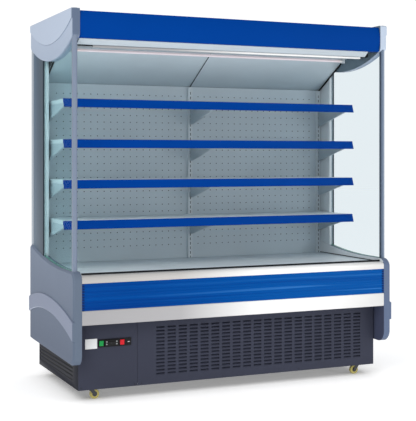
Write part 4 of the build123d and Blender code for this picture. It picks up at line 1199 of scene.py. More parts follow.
# ---------------------------------------------------------------- geometry nodes
class RepeatTree:
    """A Geometry Nodes tree that sets one small form out on a grid."""

    def __init__(self, name: str, material: Material) -> None:
        """Start the tree with its output and no inputs.

        Args:
            name: the tree's name.
            material: the finish of every copy.
        """
        self.name = name
        self.material = material
        self.tree = bpy.data.node_groups.new(name, "GeometryNodeTree")
        self.tree.interface.new_socket("Geometry", in_out="OUTPUT", socket_type="NodeSocketGeometry")
        self.values: dict[str, Any] = {}
        self.source = add_node(self.tree, "NodeGroupInput")

    def number(self, name: str, value: Any, kind: str = "NodeSocketFloat") -> Socket:
        """Add a named input with its value.

        Args:
            name: the input's name.
            value: the value that the modifier gets.
            kind: the socket's type.

        Returns:
            The socket inside the tree.
        """
        socket = self.tree.interface.new_socket(name, in_out="INPUT", socket_type=kind)
        self.values[socket.identifier] = value
        return self.source.outputs[name]

    def lay_out(
        self,
        form: Socket,
        counts: tuple[int, int],
        pitch: Span,
        place: Point,
        turn: Point = UPRIGHT,
    ) -> Mesh:
        """Copy the form over a grid, turn the grid and keep the result as a mesh.

        Args:
            form: the geometry of one copy, about the origin, already turned as it should stand.
            counts: copies along the grid's first direction and along its second.
            pitch: distances between copies, in metres.
            place: the grid's centre in the frame.
            turn: the grid's turn from flat, in radians.

        Returns:
            One plain mesh.
        """
        columns, rows = counts
        across = self.number("Columns", columns, "NodeSocketInt")
        down = self.number("Rows", rows, "NodeSocketInt")
        width = self.number("Width", pitch[0] * (columns - 1))
        height = self.number("Height", pitch[1] * (rows - 1))
        centre = self.number("Place", place, "NodeSocketVector")
        grid = add_node(
            self.tree,
            "GeometryNodeMeshGrid",
            {"Size X": width, "Size Y": height, "Vertices X": across, "Vertices Y": down},
        )
        stood = add_node(
            self.tree,
            "GeometryNodeTransform",
            {"Geometry": grid.outputs[0], "Translation": centre, "Rotation": turn},
        )
        copies = add_node(
            self.tree, "GeometryNodeInstanceOnPoints", {"Points": stood.outputs[0], "Instance": form}
        )
        solid = add_node(self.tree, "GeometryNodeRealizeInstances", {"Geometry": copies.outputs[0]})
        dressed = add_node(
            self.tree, "GeometryNodeSetMaterial", {"Geometry": solid.outputs[0], "Material": self.material}
        )
        add_node(self.tree, "NodeGroupOutput", {"Geometry": dressed.outputs[0]})
        return self.bake()

    def bake(self) -> Mesh:
        """Run the tree on an empty object and keep its result as a plain mesh.

        Returns:
            The mesh, in the frame's place.
        """
        holder = link_object(self.name, bpy.data.meshes.new(self.name + "_seed"))
        modifier = holder.modifiers.new(self.name, "NODES")
        modifier.node_group = self.tree
        for identifier, value in self.values.items():
            modifier[identifier] = value
        depsgraph = bpy.context.evaluated_depsgraph_get()
        mesh = bpy.data.meshes.new_from_object(holder.evaluated_get(depsgraph))
        holder.modifiers.clear()
        bpy.data.objects.remove(holder)
        smooth_by_angle(mesh, SHEET_DEGREES)
        return mesh


def punched_hole(repeat: RepeatTree, radius: float, depth: float) -> Socket:
    """One round hole's dark mouth of painted shade, as a shallow disc that faces the front.

    Args:
        repeat: the tree that takes it.
        radius: the hole's radius.
        depth: the disc's thickness.

    Returns:
        The form's geometry.
    """
    size = {
        "Vertices": 10,
        "Radius": repeat.number("Hole radius", radius),
        "Depth": repeat.number("Hole depth", depth),
    }
    disc = add_node(repeat.tree, "GeometryNodeMeshCylinder", size).outputs[0]
    return add_node(repeat.tree, "GeometryNodeTransform", {"Geometry": disc, "Rotation": UPRIGHT}).outputs[0]


def pan_head(repeat: RepeatTree, radius: float, turn: Point) -> Socket:
    """One pan-head screw with its cross recess, drawn as a low cross on the crown.

    Args:
        repeat: the tree that takes it.
        radius: the head's radius.
        turn: turn that sets its +Z along the outward normal.

    Returns:
        The form's geometry.
    """
    tree = repeat.tree
    size = {"Segments": 16, "Rings": 8, "Radius": repeat.number("Head radius", radius)}
    head = add_node(tree, "GeometryNodeMeshUVSphere", size).outputs[0]
    crown = add_node(tree, "GeometryNodeTransform", {"Geometry": head, "Scale": (1.0, 1.0, 0.45)})
    long, narrow, deep = radius * 1.1, radius * 0.2, radius * 0.12
    together = add_node(tree, "GeometryNodeJoinGeometry", {0: crown.outputs[0]})
    for bar_size in ((long, narrow, deep), (narrow, long, deep)):
        bar = add_node(tree, "GeometryNodeMeshCube", {"Size": bar_size}).outputs[0]
        lifted = add_node(
            tree, "GeometryNodeTransform", {"Geometry": bar, "Translation": (0.0, 0.0, radius * 0.40)}
        )
        tree.links.new(lifted.outputs[0], together.inputs[0])
    return add_node(
        tree, "GeometryNodeTransform", {"Geometry": together.outputs[0], "Rotation": turn}
    ).outputs[0]


def pop_rivet(repeat: RepeatTree, radius: float) -> Socket:
    """One domed rivet head, up along +Z.

    Args:
        repeat: the tree that takes it.
        radius: the head's radius.

    Returns:
        The form's geometry.
    """
    size = {"Segments": 12, "Rings": 6, "Radius": repeat.number("Rivet radius", radius)}
    head = add_node(repeat.tree, "GeometryNodeMeshUVSphere", size).outputs[0]
    return add_node(
        repeat.tree, "GeometryNodeTransform", {"Geometry": head, "Scale": (1.0, 1.0, 0.4)}
    ).outputs[0]


# ---------------------------------------------------------------- studio
@dataclass(frozen=True)
class SoftLight:
    """A soft rectangular light: its name, place, the point it faces, its size and its watts."""

    name: str
    place: Point
    aim: Point
    size: Span
    watts: float

    def stand(self) -> None:
        """Add the light to the scene."""
        lamp = bpy.data.lights.new(self.name, "AREA")
        lamp.shape = "RECTANGLE"
        lamp.size, lamp.size_y = self.size
        lamp.energy = self.watts
        holder = link_object(self.name, lamp)
        holder.location = self.place
        beam = Vector(self.aim) - Vector(self.place)
        holder.rotation_euler = beam.to_track_quat("-Z", "Y").to_euler()


@dataclass
class Studio:
    """Camera, soft lights, pale surroundings and a pale floor."""

    eye: Point = (-2.4349, -5.4968, 1.2449)
    yaw_degrees: float = 23.8  # turned from +Y towards +X
    focal_px: float = 1051.1
    image: tuple[int, int] = (416, 421)
    horizon_px: float = 157.6
    sensor_mm: float = 36.0
    far: float = 100.0
    room_light: float = 0.62
    seen_light: float = 1.05  # as bright as the lit floor, so that no horizon shows through the panes
    key: SoftLight = SoftLight("key", (-3.4, -3.6, 3.4), (0.0, 0.0, 1.0), (2.4, 2.4), 70.0)
    fill: SoftLight = SoftLight("fill", (4.2, -4.2, 2.2), (0.2, 0.0, 1.0), (2.5, 3.0), 45.0)
    floor_half: float = 30.0
    floor_depth: float = 0.02

    def camera(self) -> None:
        """Stand the camera level, with the horizon raised by a vertical shift."""
        width, height = self.image
        longest = max(width, height)
        lens = bpy.data.cameras.new("view_camera")
        lens.sensor_width = self.sensor_mm
        lens.lens = self.focal_px * self.sensor_mm / longest
        lens.shift_y = (self.horizon_px - height / 2) / longest
        lens.clip_end = self.far
        camera = link_object("view_camera", lens)
        camera.location = self.eye
        camera.rotation_euler = (math.pi / 2, 0.0, -math.radians(self.yaw_degrees))
        bpy.context.scene.camera = camera

    def lights(self) -> None:
        """Key from the front left, broad fill from the right and pale surroundings."""
        world = bpy.data.worlds.new("studio")
        bpy.context.scene.world = world
        world.use_nodes = True
        tree = world.node_tree
        sky = tree.nodes["Background"]
        sky.inputs["Color"].default_value = linear("ffffff")
        rays = add_node(tree, "ShaderNodeLightPath").outputs
        either = {0: rays["Is Camera Ray"], 1: rays["Is Transmission Ray"]}
        seen = add_node(tree, "ShaderNodeMath", either, operation="MAXIMUM").outputs[0]
        strength = add_node(
            tree, "ShaderNodeMapRange", {"Value": seen, "To Min": self.room_light, "To Max": self.seen_light}
        )
        tree.links.new(strength.outputs[0], sky.inputs["Strength"])
        # Blender's default transform washes the strong blues out.
        bpy.context.scene.view_settings.view_transform = "Standard"
        self.key.stand()
        self.fill.stand()

    def floor(self, material: Material) -> None:
        """Lay a pale floor.

        Args:
            material: its finish.
        """
        half = self.floor_half
        mesh = box_mesh("floor", (-half, -half, -self.floor_depth), (half, half, 0.0))
        mesh.materials.append(material)
        link_object("floor", mesh)


# ---------------------------------------------------------------- ends
@dataclass
class CabinetEnds:
    """End panels, top caps, posts, columns and side glass."""

    palette: Palette
    pane_x: float = 0.913
    seal_half: float = 0.0075
    seal_height: float = 0.003
    seal_lift: float = 0.0002
    seal_y: Span = (-0.368, 0.174)
    seal_steps: int = 24
    level_end_y: float = -0.250
    level_z: float = 0.670
    back_y: float = 0.435
    back_z: float = 0.757

    def build(self) -> None:
        """Dress both ends."""
        moulded = {"segments": 3, "degrees": 30.0, "rounded": True}
        for side in Side:
            end = side.name.lower()
            softened(f"end_panel_{end}", self.palette.end_panel, edge_mm=2.0, **moulded)
            softened(f"top_cap_{end}", self.palette.cap, edge_mm=1.6, **moulded)
        softened("front_posts", self.palette.post, edge_mm=1.5, **moulded)
        softened("rear_columns", self.palette.column, edge_mm=1.0)
        dress("side_glass", self.palette.glass)
        self.seals()

    def panel_top(self, y: float) -> float:
        """Height of an end panel's top edge: level in front, then one arc up to the back.

        Args:
            y: place along the panel's depth.

        Returns:
            The top edge's height there.
        """
        if y <= self.level_end_y:
            return self.level_z
        rise, run = self.back_z - self.level_z, self.back_y - self.level_end_y
        radius = (run * run + rise * rise) / (2 * rise)
        return self.level_z + radius - math.sqrt(radius * radius - (y - self.level_end_y) ** 2)

    def seals(self) -> None:
        """Lay the green-edged seal where each pane meets its panel."""
        strips = []
        y0, y1 = self.seal_y
        for side in Side:
            outer = side.value * (self.pane_x + self.seal_half)
            inner = side.value * (self.pane_x - self.seal_half)
            sections = []
            for n in range(self.seal_steps + 1):
                y = y0 + (y1 - y0) * n / self.seal_steps
                foot = self.panel_top(y) + self.seal_lift
                crest = self.panel_top(y) + self.seal_height
                sections.append([(outer, y, foot), (outer, y, crest), (inner, y, crest), (inner, y, foot)])
            strips.append(lofted_mesh("seal", sections))
        new_piece("glass_seals", strips, self.palette.glass_edge)


# ---------------------------------------------------------------- canopy
@dataclass
class Canopy:
    """Fascia, lamp housing, air honeycomb, lamp and upper duct panel."""

    palette: Palette
    cell: float = 0.012
    cell_fill: float = 0.44  # radius of a cell's mouth against the cells' pitch
    cell_depth: float = 0.0012
    cell_rise: float = 0.0008
    comb_half: float = 0.820
    comb_margin: float = 0.012
    cap_length: float = 0.018
    cap_wall: float = 0.0006
    cap_lip: float = 0.001
    cap_neck: float = 0.9  # radius of the cap's mouth against the tube's
    duct_x: float = 0.889
    slant: tuple[Span, Span] = ((-0.013, 1.838), (0.294, 1.6687))  # Y and Z of the slanted face's ends
    trim_width: float = 0.010
    trim_lift: Span = (0.0008, 0.0040)
    seam: float = 0.003
    plate_x: Span = (-0.0008, 0.0004)  # faces of an end plate, from the duct's own end
    plate_gap: float = 0.004

    def build(self) -> None:
        """Dress the canopy."""
        softened("canopy_fascia", self.palette.fascia, edge_mm=0.8)
        dress("canopy_roof", self.palette.foam)
        softened("lamp_housing", self.palette.housing, edge_mm=0.5)
        dress("air_honeycomb", self.palette.honeycomb)
        softened("upper_duct_panel", self.palette.inner, edge_mm=0.4)
        dress("lamp_batten", self.palette.housing)
        dress("lamp_tube", self.palette.tube)
        self.lamp_ends()
        self.duct_trim()
        self.duct_ends()
        self.comb()

    def lamp_ends(self) -> None:
        """Cap both ends of the tube in metal."""
        low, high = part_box("lamp_tube")
        y, z = (low[1] + high[1]) / 2, (low[2] + high[2]) / 2
        radius = (high[2] - low[2]) / 2
        sleeve, mouth = radius + self.cap_wall, self.cap_length + self.cap_lip
        neck = radius * self.cap_neck
        outline = [(0.0, 0.0), (sleeve, 0.0), (sleeve, self.cap_length), (neck, mouth), (0.0, mouth)]
        caps = []
        for side in Side:
            end = high[0] if side is Side.RIGHT else low[0]
            turned = [(r, -side.value * along) for r, along in outline]
            caps.append(lathe_mesh("lamp_end", turned, (end, y, z), Axis.X, 32))
        new_piece("lamp_end_caps", caps, self.palette.silver)

    def duct_trim(self) -> None:
        """Seal the slanted part of the duct panel at both sides and at its middle joint."""
        start, end = Vector((0.0, *self.slant[0])), Vector((0.0, *self.slant[1]))
        along = (end - start).normalized()
        normal = Vector((0.0, along.z, -along.y))
        if normal.y > 0:
            normal = -normal
        spans = [(side.value * self.duct_x, side.value * (self.duct_x - self.trim_width)) for side in Side]
        spans.append((-self.seam / 2, self.seam / 2))
        low, high = self.trim_lift
        strips = []
        for x0, x1 in spans:
            sections = []
            for point in (start, end):
                foot, crest = point + normal * low, point + normal * high
                corners = ((x0, foot), (x1, foot), (x1, crest), (x0, crest))
                sections.append([(x, place.y, place.z) for x, place in corners])
            strips.append(lofted_mesh("duct_trim", sections))
        new_piece("duct_edge_trim", strips, self.palette.dark)

    def duct_ends(self) -> None:
        """Close the duct behind the slanted panel with a dark plate at each end."""
        (y0, z0), (y1, z1) = self.slant
        outline = ((y0 + self.plate_gap, z0), (y1, z1 + self.plate_gap), (y1, z0))
        plates = []
        for side in Side:
            faces = [side.value * (self.duct_x + step) for step in self.plate_x]
            plates.append(lofted_mesh("duct_end", [[(x, y, z) for y, z in outline] for x in faces]))
        new_piece("duct_end_plates", plates, self.palette.seal)

    def comb(self) -> None:
        """Draw the air outlet's cell mouths as dark hexagons of painted shade."""
        low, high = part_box("air_honeycomb")
        repeat = RepeatTree("outlet_cells", self.palette.dark)
        size = {
            "Vertices": 6,
            "Radius": repeat.number("Cell radius", self.cell * self.cell_fill),
            "Depth": repeat.number("Cell depth", self.cell_depth),
        }
        mouth = add_node(repeat.tree, "GeometryNodeMeshCylinder", size).outputs[0]
        columns = int((2 * self.comb_half) / self.cell)
        rows = int((high[1] - low[1] - self.comb_margin) / self.cell)
        place = (0.0, (low[1] + high[1]) / 2, low[2] + self.cell_rise)
        mesh = repeat.lay_out(mouth, (columns, rows), (self.cell, self.cell), place, FLAT)
        new_piece("outlet_cells", [mesh], self.palette.dark)


# ---------------------------------------------------------------- outer shell
@dataclass
class OuterShell:
    """Joint strips and rivets of the cabinet's roof sheets."""

    palette: Palette
    roof_z: float = 1.986
    roof_y: Span = (-0.360, 0.425)
    joint_x: Span = (-0.297, 0.297)
    strip_width: float = 0.030
    strip_rise: float = 0.0008
    strip_sink: float = 0.0002
    strip_edge: float = 0.0003
    rivet_x: float = 0.875
    rivet_radius: float = 0.0030
    rivet_pitch: float = 0.150
    rivet_margin: float = 0.04

    def build(self) -> None:
        """Lay the strips and set their rivets."""
        self.joint_strips()
        self.rivets()

    def joint_strips(self) -> None:
        """Cover the joints of the roof sheets."""
        half = self.strip_width / 2
        y0, y1 = self.roof_y
        z0, z1 = self.roof_z - self.strip_sink, self.roof_z + self.strip_rise
        strips = [
            box_mesh("strip", (x - half, y0, z0), (x + half, y1, z1), self.strip_edge, 1)
            for x in self.joint_x
        ]
        new_piece("roof_joint_strips", strips, self.palette.joint)

    def rivets(self) -> None:
        """Set pop rivets along the joints and the outer edges of the roof."""
        y0, y1 = self.roof_y
        rows = int((y1 - y0 - self.rivet_margin) / self.rivet_pitch) + 1
        lots = []
        for x in (-self.rivet_x, *self.joint_x, self.rivet_x):
            repeat = RepeatTree("roof_rivets", self.palette.rivet)
            form = pop_rivet(repeat, self.rivet_radius)
            place = (x, (y0 + y1) / 2, self.roof_z + self.strip_rise)
            lots.append(repeat.lay_out(form, (1, rows), (0.0, self.rivet_pitch), place, FLAT))
        new_piece("roof_sheet_rivets", lots, self.palette.rivet)


# ---------------------------------------------------------------- shelving
@dataclass
class Shelving:
    """Back panels, uprights, brackets, shelves and ticket strips."""

    palette: Palette
    shelf_count: int = 4
    hole_pitch: float = 0.040
    hole_radius: float = 0.0030
    hole_depth: float = 0.0006
    hole_x: Span = (0.030, 0.840)
    hole_z: Span = (0.700, 1.640)
    panel_y: float = 0.297
    upright_x: float = 0.875
    upright_y: float = 0.283
    proud: float = 0.0001  # how far a drawn opening stands in front of its sheet
    slot_shade_half: float = 0.0105
    slot_shade_y: Span = (0.0105, 0.0115)  # from the upright's front
    slot_shade_end: float = 0.005
    slot_size: Point = (0.004, 0.0004, 0.016)
    slot_pitch: float = 0.0542
    slot_rows: Span = (0.6793, 1.6007)

    def build(self) -> None:
        """Dress the shelving."""
        dress("back_panels", self.palette.inner)
        softened("shelf_uprights", self.palette.shelf, edge_mm=0.4, segments=1)
        for level in range(1, self.shelf_count + 1):
            softened(f"shelf_{level}", self.palette.shelf, edge_mm=0.7)
        softened("shelf_brackets", self.palette.bracket, edge_mm=0.5, segments=1)
        softened("price_strips", self.palette.strip, edge_mm=0.5)
        self.perforations()
        self.slot_shadows()
        self.between_slots()

    def perforations(self) -> None:
        """Draw the air holes of the back panels as dark discs of painted shade."""
        x0, x1 = self.hole_x
        z0, z1 = self.hole_z
        counts = (int((x1 - x0) / self.hole_pitch), int((z1 - z0) / self.hole_pitch))
        holes = []
        for side in Side:
            repeat = RepeatTree(f"air_holes_{side.name.lower()}", self.palette.hole)
            form = punched_hole(repeat, self.hole_radius, self.hole_depth)
            centre = (side.value * (x0 + x1) / 2, self.panel_y - self.proud, (z0 + z1) / 2)
            holes.append(repeat.lay_out(form, counts, (self.hole_pitch, self.hole_pitch), centre))
        new_piece("back_panel_holes", holes, self.palette.hole)

    def slot_shadows(self) -> None:
        """Stand a dark sheet of painted shade inside each upright, so that its slots read as openings."""
        low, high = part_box("shelf_uprights")
        y0, y1 = (low[1] + step for step in self.slot_shade_y)
        z0, z1 = low[2] + self.slot_shade_end, high[2] - self.slot_shade_end
        linings = [
            box_mesh("lining", (x - self.slot_shade_half, y0, z0), (x + self.slot_shade_half, y1, z1))
            for x in (-self.upright_x, 0.0, self.upright_x)
        ]
        new_piece("upright_linings", linings, self.palette.dark)

    def between_slots(self) -> None:
        """Draw the slots that stand between the uprights' hook slots, at half their pitch, as dark dashes of
        painted shade.
        """
        repeat = RepeatTree("slots_between", self.palette.hole)
        size = repeat.number("Slot size", self.slot_size, "NodeSocketVector")
        dash = add_node(repeat.tree, "GeometryNodeMeshCube", {"Size": size}).outputs[0]
        low, high = self.slot_rows
        counts = (3, round((high - low) / self.slot_pitch) + 1)
        place = (0.0, self.upright_y - self.proud, (low + high) / 2)
        mesh = repeat.lay_out(dash, counts, (self.upright_x, self.slot_pitch), place)
        new_piece("slots_between_hooks", [mesh], self.palette.hole)


# ---------------------------------------------------------------- deck and bumper
@dataclass
class Deck:
    """Deck pans, return grille, bumper, trims and the insulated tub."""

    palette: Palette
    band_x: float = 0.8895
    band_width: float = 0.012
    band_y: Span = (0.0001, 0.0030)  # from the bumper's front
    band_inset: float = 0.0005
    band_edge: float = 0.0008
    seal_x: float = 0.8898
    seal_width: float = 0.004
    seal_front_y: float = -0.384
    seal_z: Span = (-0.001, 0.004)  # from the deck's top
    seal_edge: float = 0.001
    rail_inset: float = 0.001
    rail_seal_width: float = 0.009
    rail_seal_rise: float = 0.009
    rail_seal_edge: float = 0.0015

    def build(self) -> None:
        """Dress the deck and the front trims."""
        softened("deck_pans", self.palette.shelf, edge_mm=0.8)
        dress("return_air_grille", self.palette.dark)
        softened("bumper_top_rail", self.palette.rail, edge_mm=0.5)
        softened("bumper_strip", self.palette.bumper, edge_mm=0.5, degrees=50.0)
        softened("front_panel", self.palette.silver, edge_mm=0.6)
        dress("insulated_tub", self.palette.foam)
        dress("insulated_back", self.palette.foam)
        self.end_bands()
        self.side_seals()
        self.rail_seal()

    def end_bands(self) -> None:
        """Wrap the bumper's two ends in a darker band of painted shade and the end panels' painted
        reflection.
        """
        low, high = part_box("bumper_strip")
        y0, y1 = (low[1] + step for step in self.band_y)
        z0, z1 = low[2] + self.band_inset, high[2] - self.band_inset
        bands = []
        for side in Side:
            outer = side.value * self.band_x
            x0, x1 = sorted((outer, outer - side.value * self.band_width))
            bands.append(box_mesh("band", (x0, y0, z0), (x1, y1, z1), self.band_edge))
        new_piece("bumper_end_bands", bands, self.palette.bumper_end)

    def side_seals(self) -> None:
        """Run a dark seal between the deck and both end panels."""
        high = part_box("deck_pans")[1]
        z0, z1 = (high[2] + step for step in self.seal_z)
        strips = []
        for side in Side:
            outer = side.value * self.seal_x
            x0, x1 = sorted((outer, outer - side.value * self.seal_width))
            strips.append(
                box_mesh("deck_seal", (x0, self.seal_front_y, z0), (x1, high[1], z1), self.seal_edge)
            )
        new_piece("deck_side_seals", strips, self.palette.seal)

    def rail_seal(self) -> None:
        """Lay a black seal along the back of the bumper's top rail."""
        low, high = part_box("bumper_top_rail")
        inset = self.rail_inset
        start = (low[0] + inset, high[1] - self.rail_seal_width, high[2] - inset)
        end = (high[0] - inset, high[1] - inset, high[2] + self.rail_seal_rise)
        mesh = box_mesh("rail_seal", start, end, self.rail_seal_edge)
        new_piece("bumper_rail_seal", [mesh], self.palette.seal)


# ---------------------------------------------------------------- plinth
@dataclass
class Plinth:
    """Louvred front grille, side panels, rear cover and their fixings."""

    palette: Palette
    counts: tuple[int, int] = (20, 14)  # columns and rows of louvres
    pitch: Span = (0.0633, 0.0187)
    slot: Span = (0.046, 0.009)
    centre: Point = (0.16825, -0.339, 0.2315)
    lip_depth: float = 0.0040
    lip_sheet: float = 0.0010
    lip_drop: Span = (-0.0006, 0.0002)  # Y of the lip, and its drop below the slot
    lip_degrees: float = -35.0
    front_y: float = -0.339
    back_y: float = 0.420
    pad_half: float = 0.720
    pad_z: Span = (0.180, 0.320)
    pad_y: Span = (-0.0050, -0.0023)  # from the rear cover's outer face
    pad_edge: float = 0.0008
    side_x: float = 0.881
    side_pad_x: Span = (0.0050, 0.0023)  # inwards from the side sheet's outer face
    side_pad_y: Span = (-0.250, 0.416)
    side_pad_z: Span = (0.1025, 0.170)
    screw_radius: float = 0.0034
    screw_z: float = 0.2305
    screw_rise: float = 0.325  # between the lower and the upper row
    rivet: Span = (-0.567, 0.394)
    rivet_outline: tuple[Span, ...] = (
        (0.0, -0.0022), (0.0022, -0.0018), (0.0036, -0.0006), (0.0038, 0.0006), (0.0, 0.0006),
    )

    def build(self) -> None:
        """Dress the plinth."""
        dress("front_grille", self.palette.plinth)
        softened("control_panel", self.palette.plinth, edge_mm=0.6)
        softened("side_base_panels", self.palette.plinth_side, edge_mm=0.6)
        dress("rear_cover", self.palette.plinth)
        dress("base_frame", self.palette.chassis)
        dress("cable_gland", self.palette.bezel)
        self.lips()
        self.filter_pads()
        self.screws()
        self.seam_rivet()

    def lips(self) -> None:
        """Hang a short pressed lip under each louvre slot."""
        repeat = RepeatTree("louvre_lips", self.palette.plinth)
        sizes = {
            "X": repeat.number("Lip width", self.slot[0]),
            "Y": repeat.number("Lip depth", self.lip_depth),
            "Z": repeat.number("Lip sheet", self.lip_sheet),
        }
        size = add_node(repeat.tree, "ShaderNodeCombineXYZ", sizes).outputs[0]
        lip = add_node(repeat.tree, "GeometryNodeMeshCube", {"Size": size}).outputs[0]
        ahead, drop = self.lip_drop
        tilted = add_node(
            repeat.tree,
            "GeometryNodeTransform",
            {
                "Geometry": lip,
                "Translation": (0.0, ahead, -self.slot[1] / 2 - drop),
                "Rotation": (math.radians(self.lip_degrees), 0.0, 0.0),
            },
        )
        mesh = repeat.lay_out(tilted.outputs[0], self.counts, self.pitch, self.centre)
        new_piece("louvre_lips", [mesh], self.palette.plinth)

    def filter_pads(self) -> None:
        """Back the rear cover's slots and the side slots with black pads of painted shade."""
        half, (y0, y1), (z0, z1) = self.pad_half, self.pad_y, self.pad_z
        pads = [box_mesh("pad", (-half, self.back_y + y0, z0), (half, self.back_y + y1, z1), self.pad_edge)]
        (y0, y1), (z0, z1) = self.side_pad_y, self.side_pad_z
        for side in Side:
            x0, x1 = sorted(side.value * (self.side_x - step) for step in self.side_pad_x)
            pads.append(box_mesh("pad", (x0, y0, z0), (x1, y1, z1), self.pad_edge))
        new_piece("filter_pads", pads, self.palette.dark)

    def screws(self) -> None:
        """Set the visible screws of the grille, of the control panel and of the rear cover."""
        runs = (
            ("grille_screws", UPRIGHT, 4, 0.465, 0.160, self.front_y),
            ("panel_screws", UPRIGHT, 2, 0.290, -0.721, self.front_y),
            ("cover_screws", REARWARD, 7, 0.285, 0.0, self.back_y),
        )
        lots = []
        for name, facing, count, spacing, x, y in runs:
            repeat = RepeatTree(name, self.palette.screw)
            form = pan_head(repeat, self.screw_radius, facing)
            place = (x, y, self.screw_z)
            lots.append(repeat.lay_out(form, (count, 2), (spacing, self.screw_rise), place))
        new_piece("plinth_screws", lots, self.palette.screw)

    def seam_rivet(self) -> None:
        """Set the bright rivet that holds both front sheets at the top of their seam."""
        x, z = self.rivet
        mesh = lathe_mesh("seam_rivet", self.rivet_outline, (x, self.front_y, z), Axis.Y, 24)
        new_piece("seam_rivet", [mesh], self.palette.rivet)


# ---------------------------------------------------------------- controls
@dataclass
class ControlStrip:
    """Bezel, controller, two rockers and the blank label plate."""

    palette: Palette
    controller_x: float = -0.705
    centre_z: float = 0.292
    face_y: float = -0.348
    bezel_y: float = -0.343
    plate_x: Span = (-0.845, -0.781)
    plate_y: Span = (-0.3402, -0.3389)
    plate_z: Span = (0.266, 0.317)
    plate_edge: float = 0.0006
    window_half: Span = (0.0200, 0.0095)
    window_y: Span = (-0.0004, 0.0008)  # from the controller's face
    window_edge: float = 0.0010
    key_step: Span = (0.0270, 0.0062)  # of a key's centre from the controller's
    key_half: Span = (0.0040, 0.0036)
    key_y: Span = (-0.0012, 0.0005)
    key_edge: float = 0.0008
    rim_reach: float = 0.0022
    rim_width: float = 0.0018
    rim_y: Span = (-0.0012, 0.0004)  # from the bezel's face
    mark_x: Span = (-0.6170, -0.6060)
    mark_y: Span = (-0.0006, 0.0004)
    mark_z: Span = (0.2900, 0.2930)
    fine_edge: float = 0.0004

    def build(self) -> None:
        """Dress the controls."""
        softened("control_bezel", self.palette.bezel, edge_mm=0.8, segments=3)
        softened("temperature_controller", self.palette.bezel, edge_mm=0.6, segments=3)
        softened("switch_green", self.palette.green, edge_mm=0.5, segments=3)
        softened("switch_red", self.palette.red, edge_mm=0.5, segments=3)
        self.label_plate()
        self.display()
        self.keys()
        self.rocker_rims()
        self.pointer()

    def label_plate(self) -> None:
        """Set a blank white plate beside the bezel."""
        (x0, x1), (y0, y1), (z0, z1) = self.plate_x, self.plate_y, self.plate_z
        mesh = box_mesh("label_plate", (x0, y0, z0), (x1, y1, z1), self.plate_edge)
        new_piece("blank_label_plate", [mesh], self.palette.plate)

    def on_face(self, name: str, place: Span, half: Span, depth: Span, edge: float, segments: int) -> Mesh:
        """Box on the controller's face.

        Args:
            name: the mesh's name.
            place: X and Z of its centre.
            half: half its width and half its height.
            depth: its front and back, from the face.
            edge: radius of its rounding.
            segments: faces across the rounding.

        Returns:
            The mesh.
        """
        x, z = place
        low = (x - half[0], self.face_y + depth[0], z - half[1])
        high = (x + half[0], self.face_y + depth[1], z + half[1])
        return box_mesh(name, low, high, edge, segments)

    def display(self) -> None:
        """Set the smoked display window into the controller's face."""
        place = (self.controller_x, self.centre_z)
        window = self.on_face("window", place, self.window_half, self.window_y, self.window_edge, 2)
        new_piece("controller_display", [window], self.palette.display)

    def keys(self) -> None:
        """Set two stacked keys at each side of the display."""
        keys = []
        for side in Side:
            for level in (-1, 1):
                x = self.controller_x + side.value * self.key_step[0]
                z = self.centre_z + level * self.key_step[1]
                keys.append(self.on_face("key", (x, z), self.key_half, self.key_y, self.key_edge, 3))
        new_piece("controller_keys", keys, self.palette.button)

    def rocker_rims(self) -> None:
        """Mould a frame of black round each rocker's mouth."""
        reach, width = self.rim_reach, self.rim_width
        y0, y1 = (self.bezel_y + step for step in self.rim_y)
        bars = []
        for node in ("switch_green", "switch_red"):
            low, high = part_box(node)
            x0, x1, z0, z1 = low[0] - reach, high[0] + reach, low[2] - reach, high[2] + reach
            uprights = ((x0, x0 + width, z0, z1), (x1 - width, x1, z0, z1))
            levels = ((x0, x1, z0, z0 + width), (x0, x1, z1 - width, z1))
            for a, b, c, d in (*uprights, *levels):
                bars.append(box_mesh("rim", (a, y0, c), (b, y1, d), self.fine_edge, 1))
        new_piece("rocker_rims", bars, self.palette.bezel)

    def pointer(self) -> None:
        """Set the pale mark at the bezel's right end."""
        y0, y1 = (self.bezel_y + step for step in self.mark_y)
        (x0, x1), (z0, z1) = self.mark_x, self.mark_z
        mesh = box_mesh("pointer", (x0, y0, z0), (x1, y1, z1), self.fine_edge, 1)
        new_piece("bezel_pointer", [mesh], self.palette.plate)


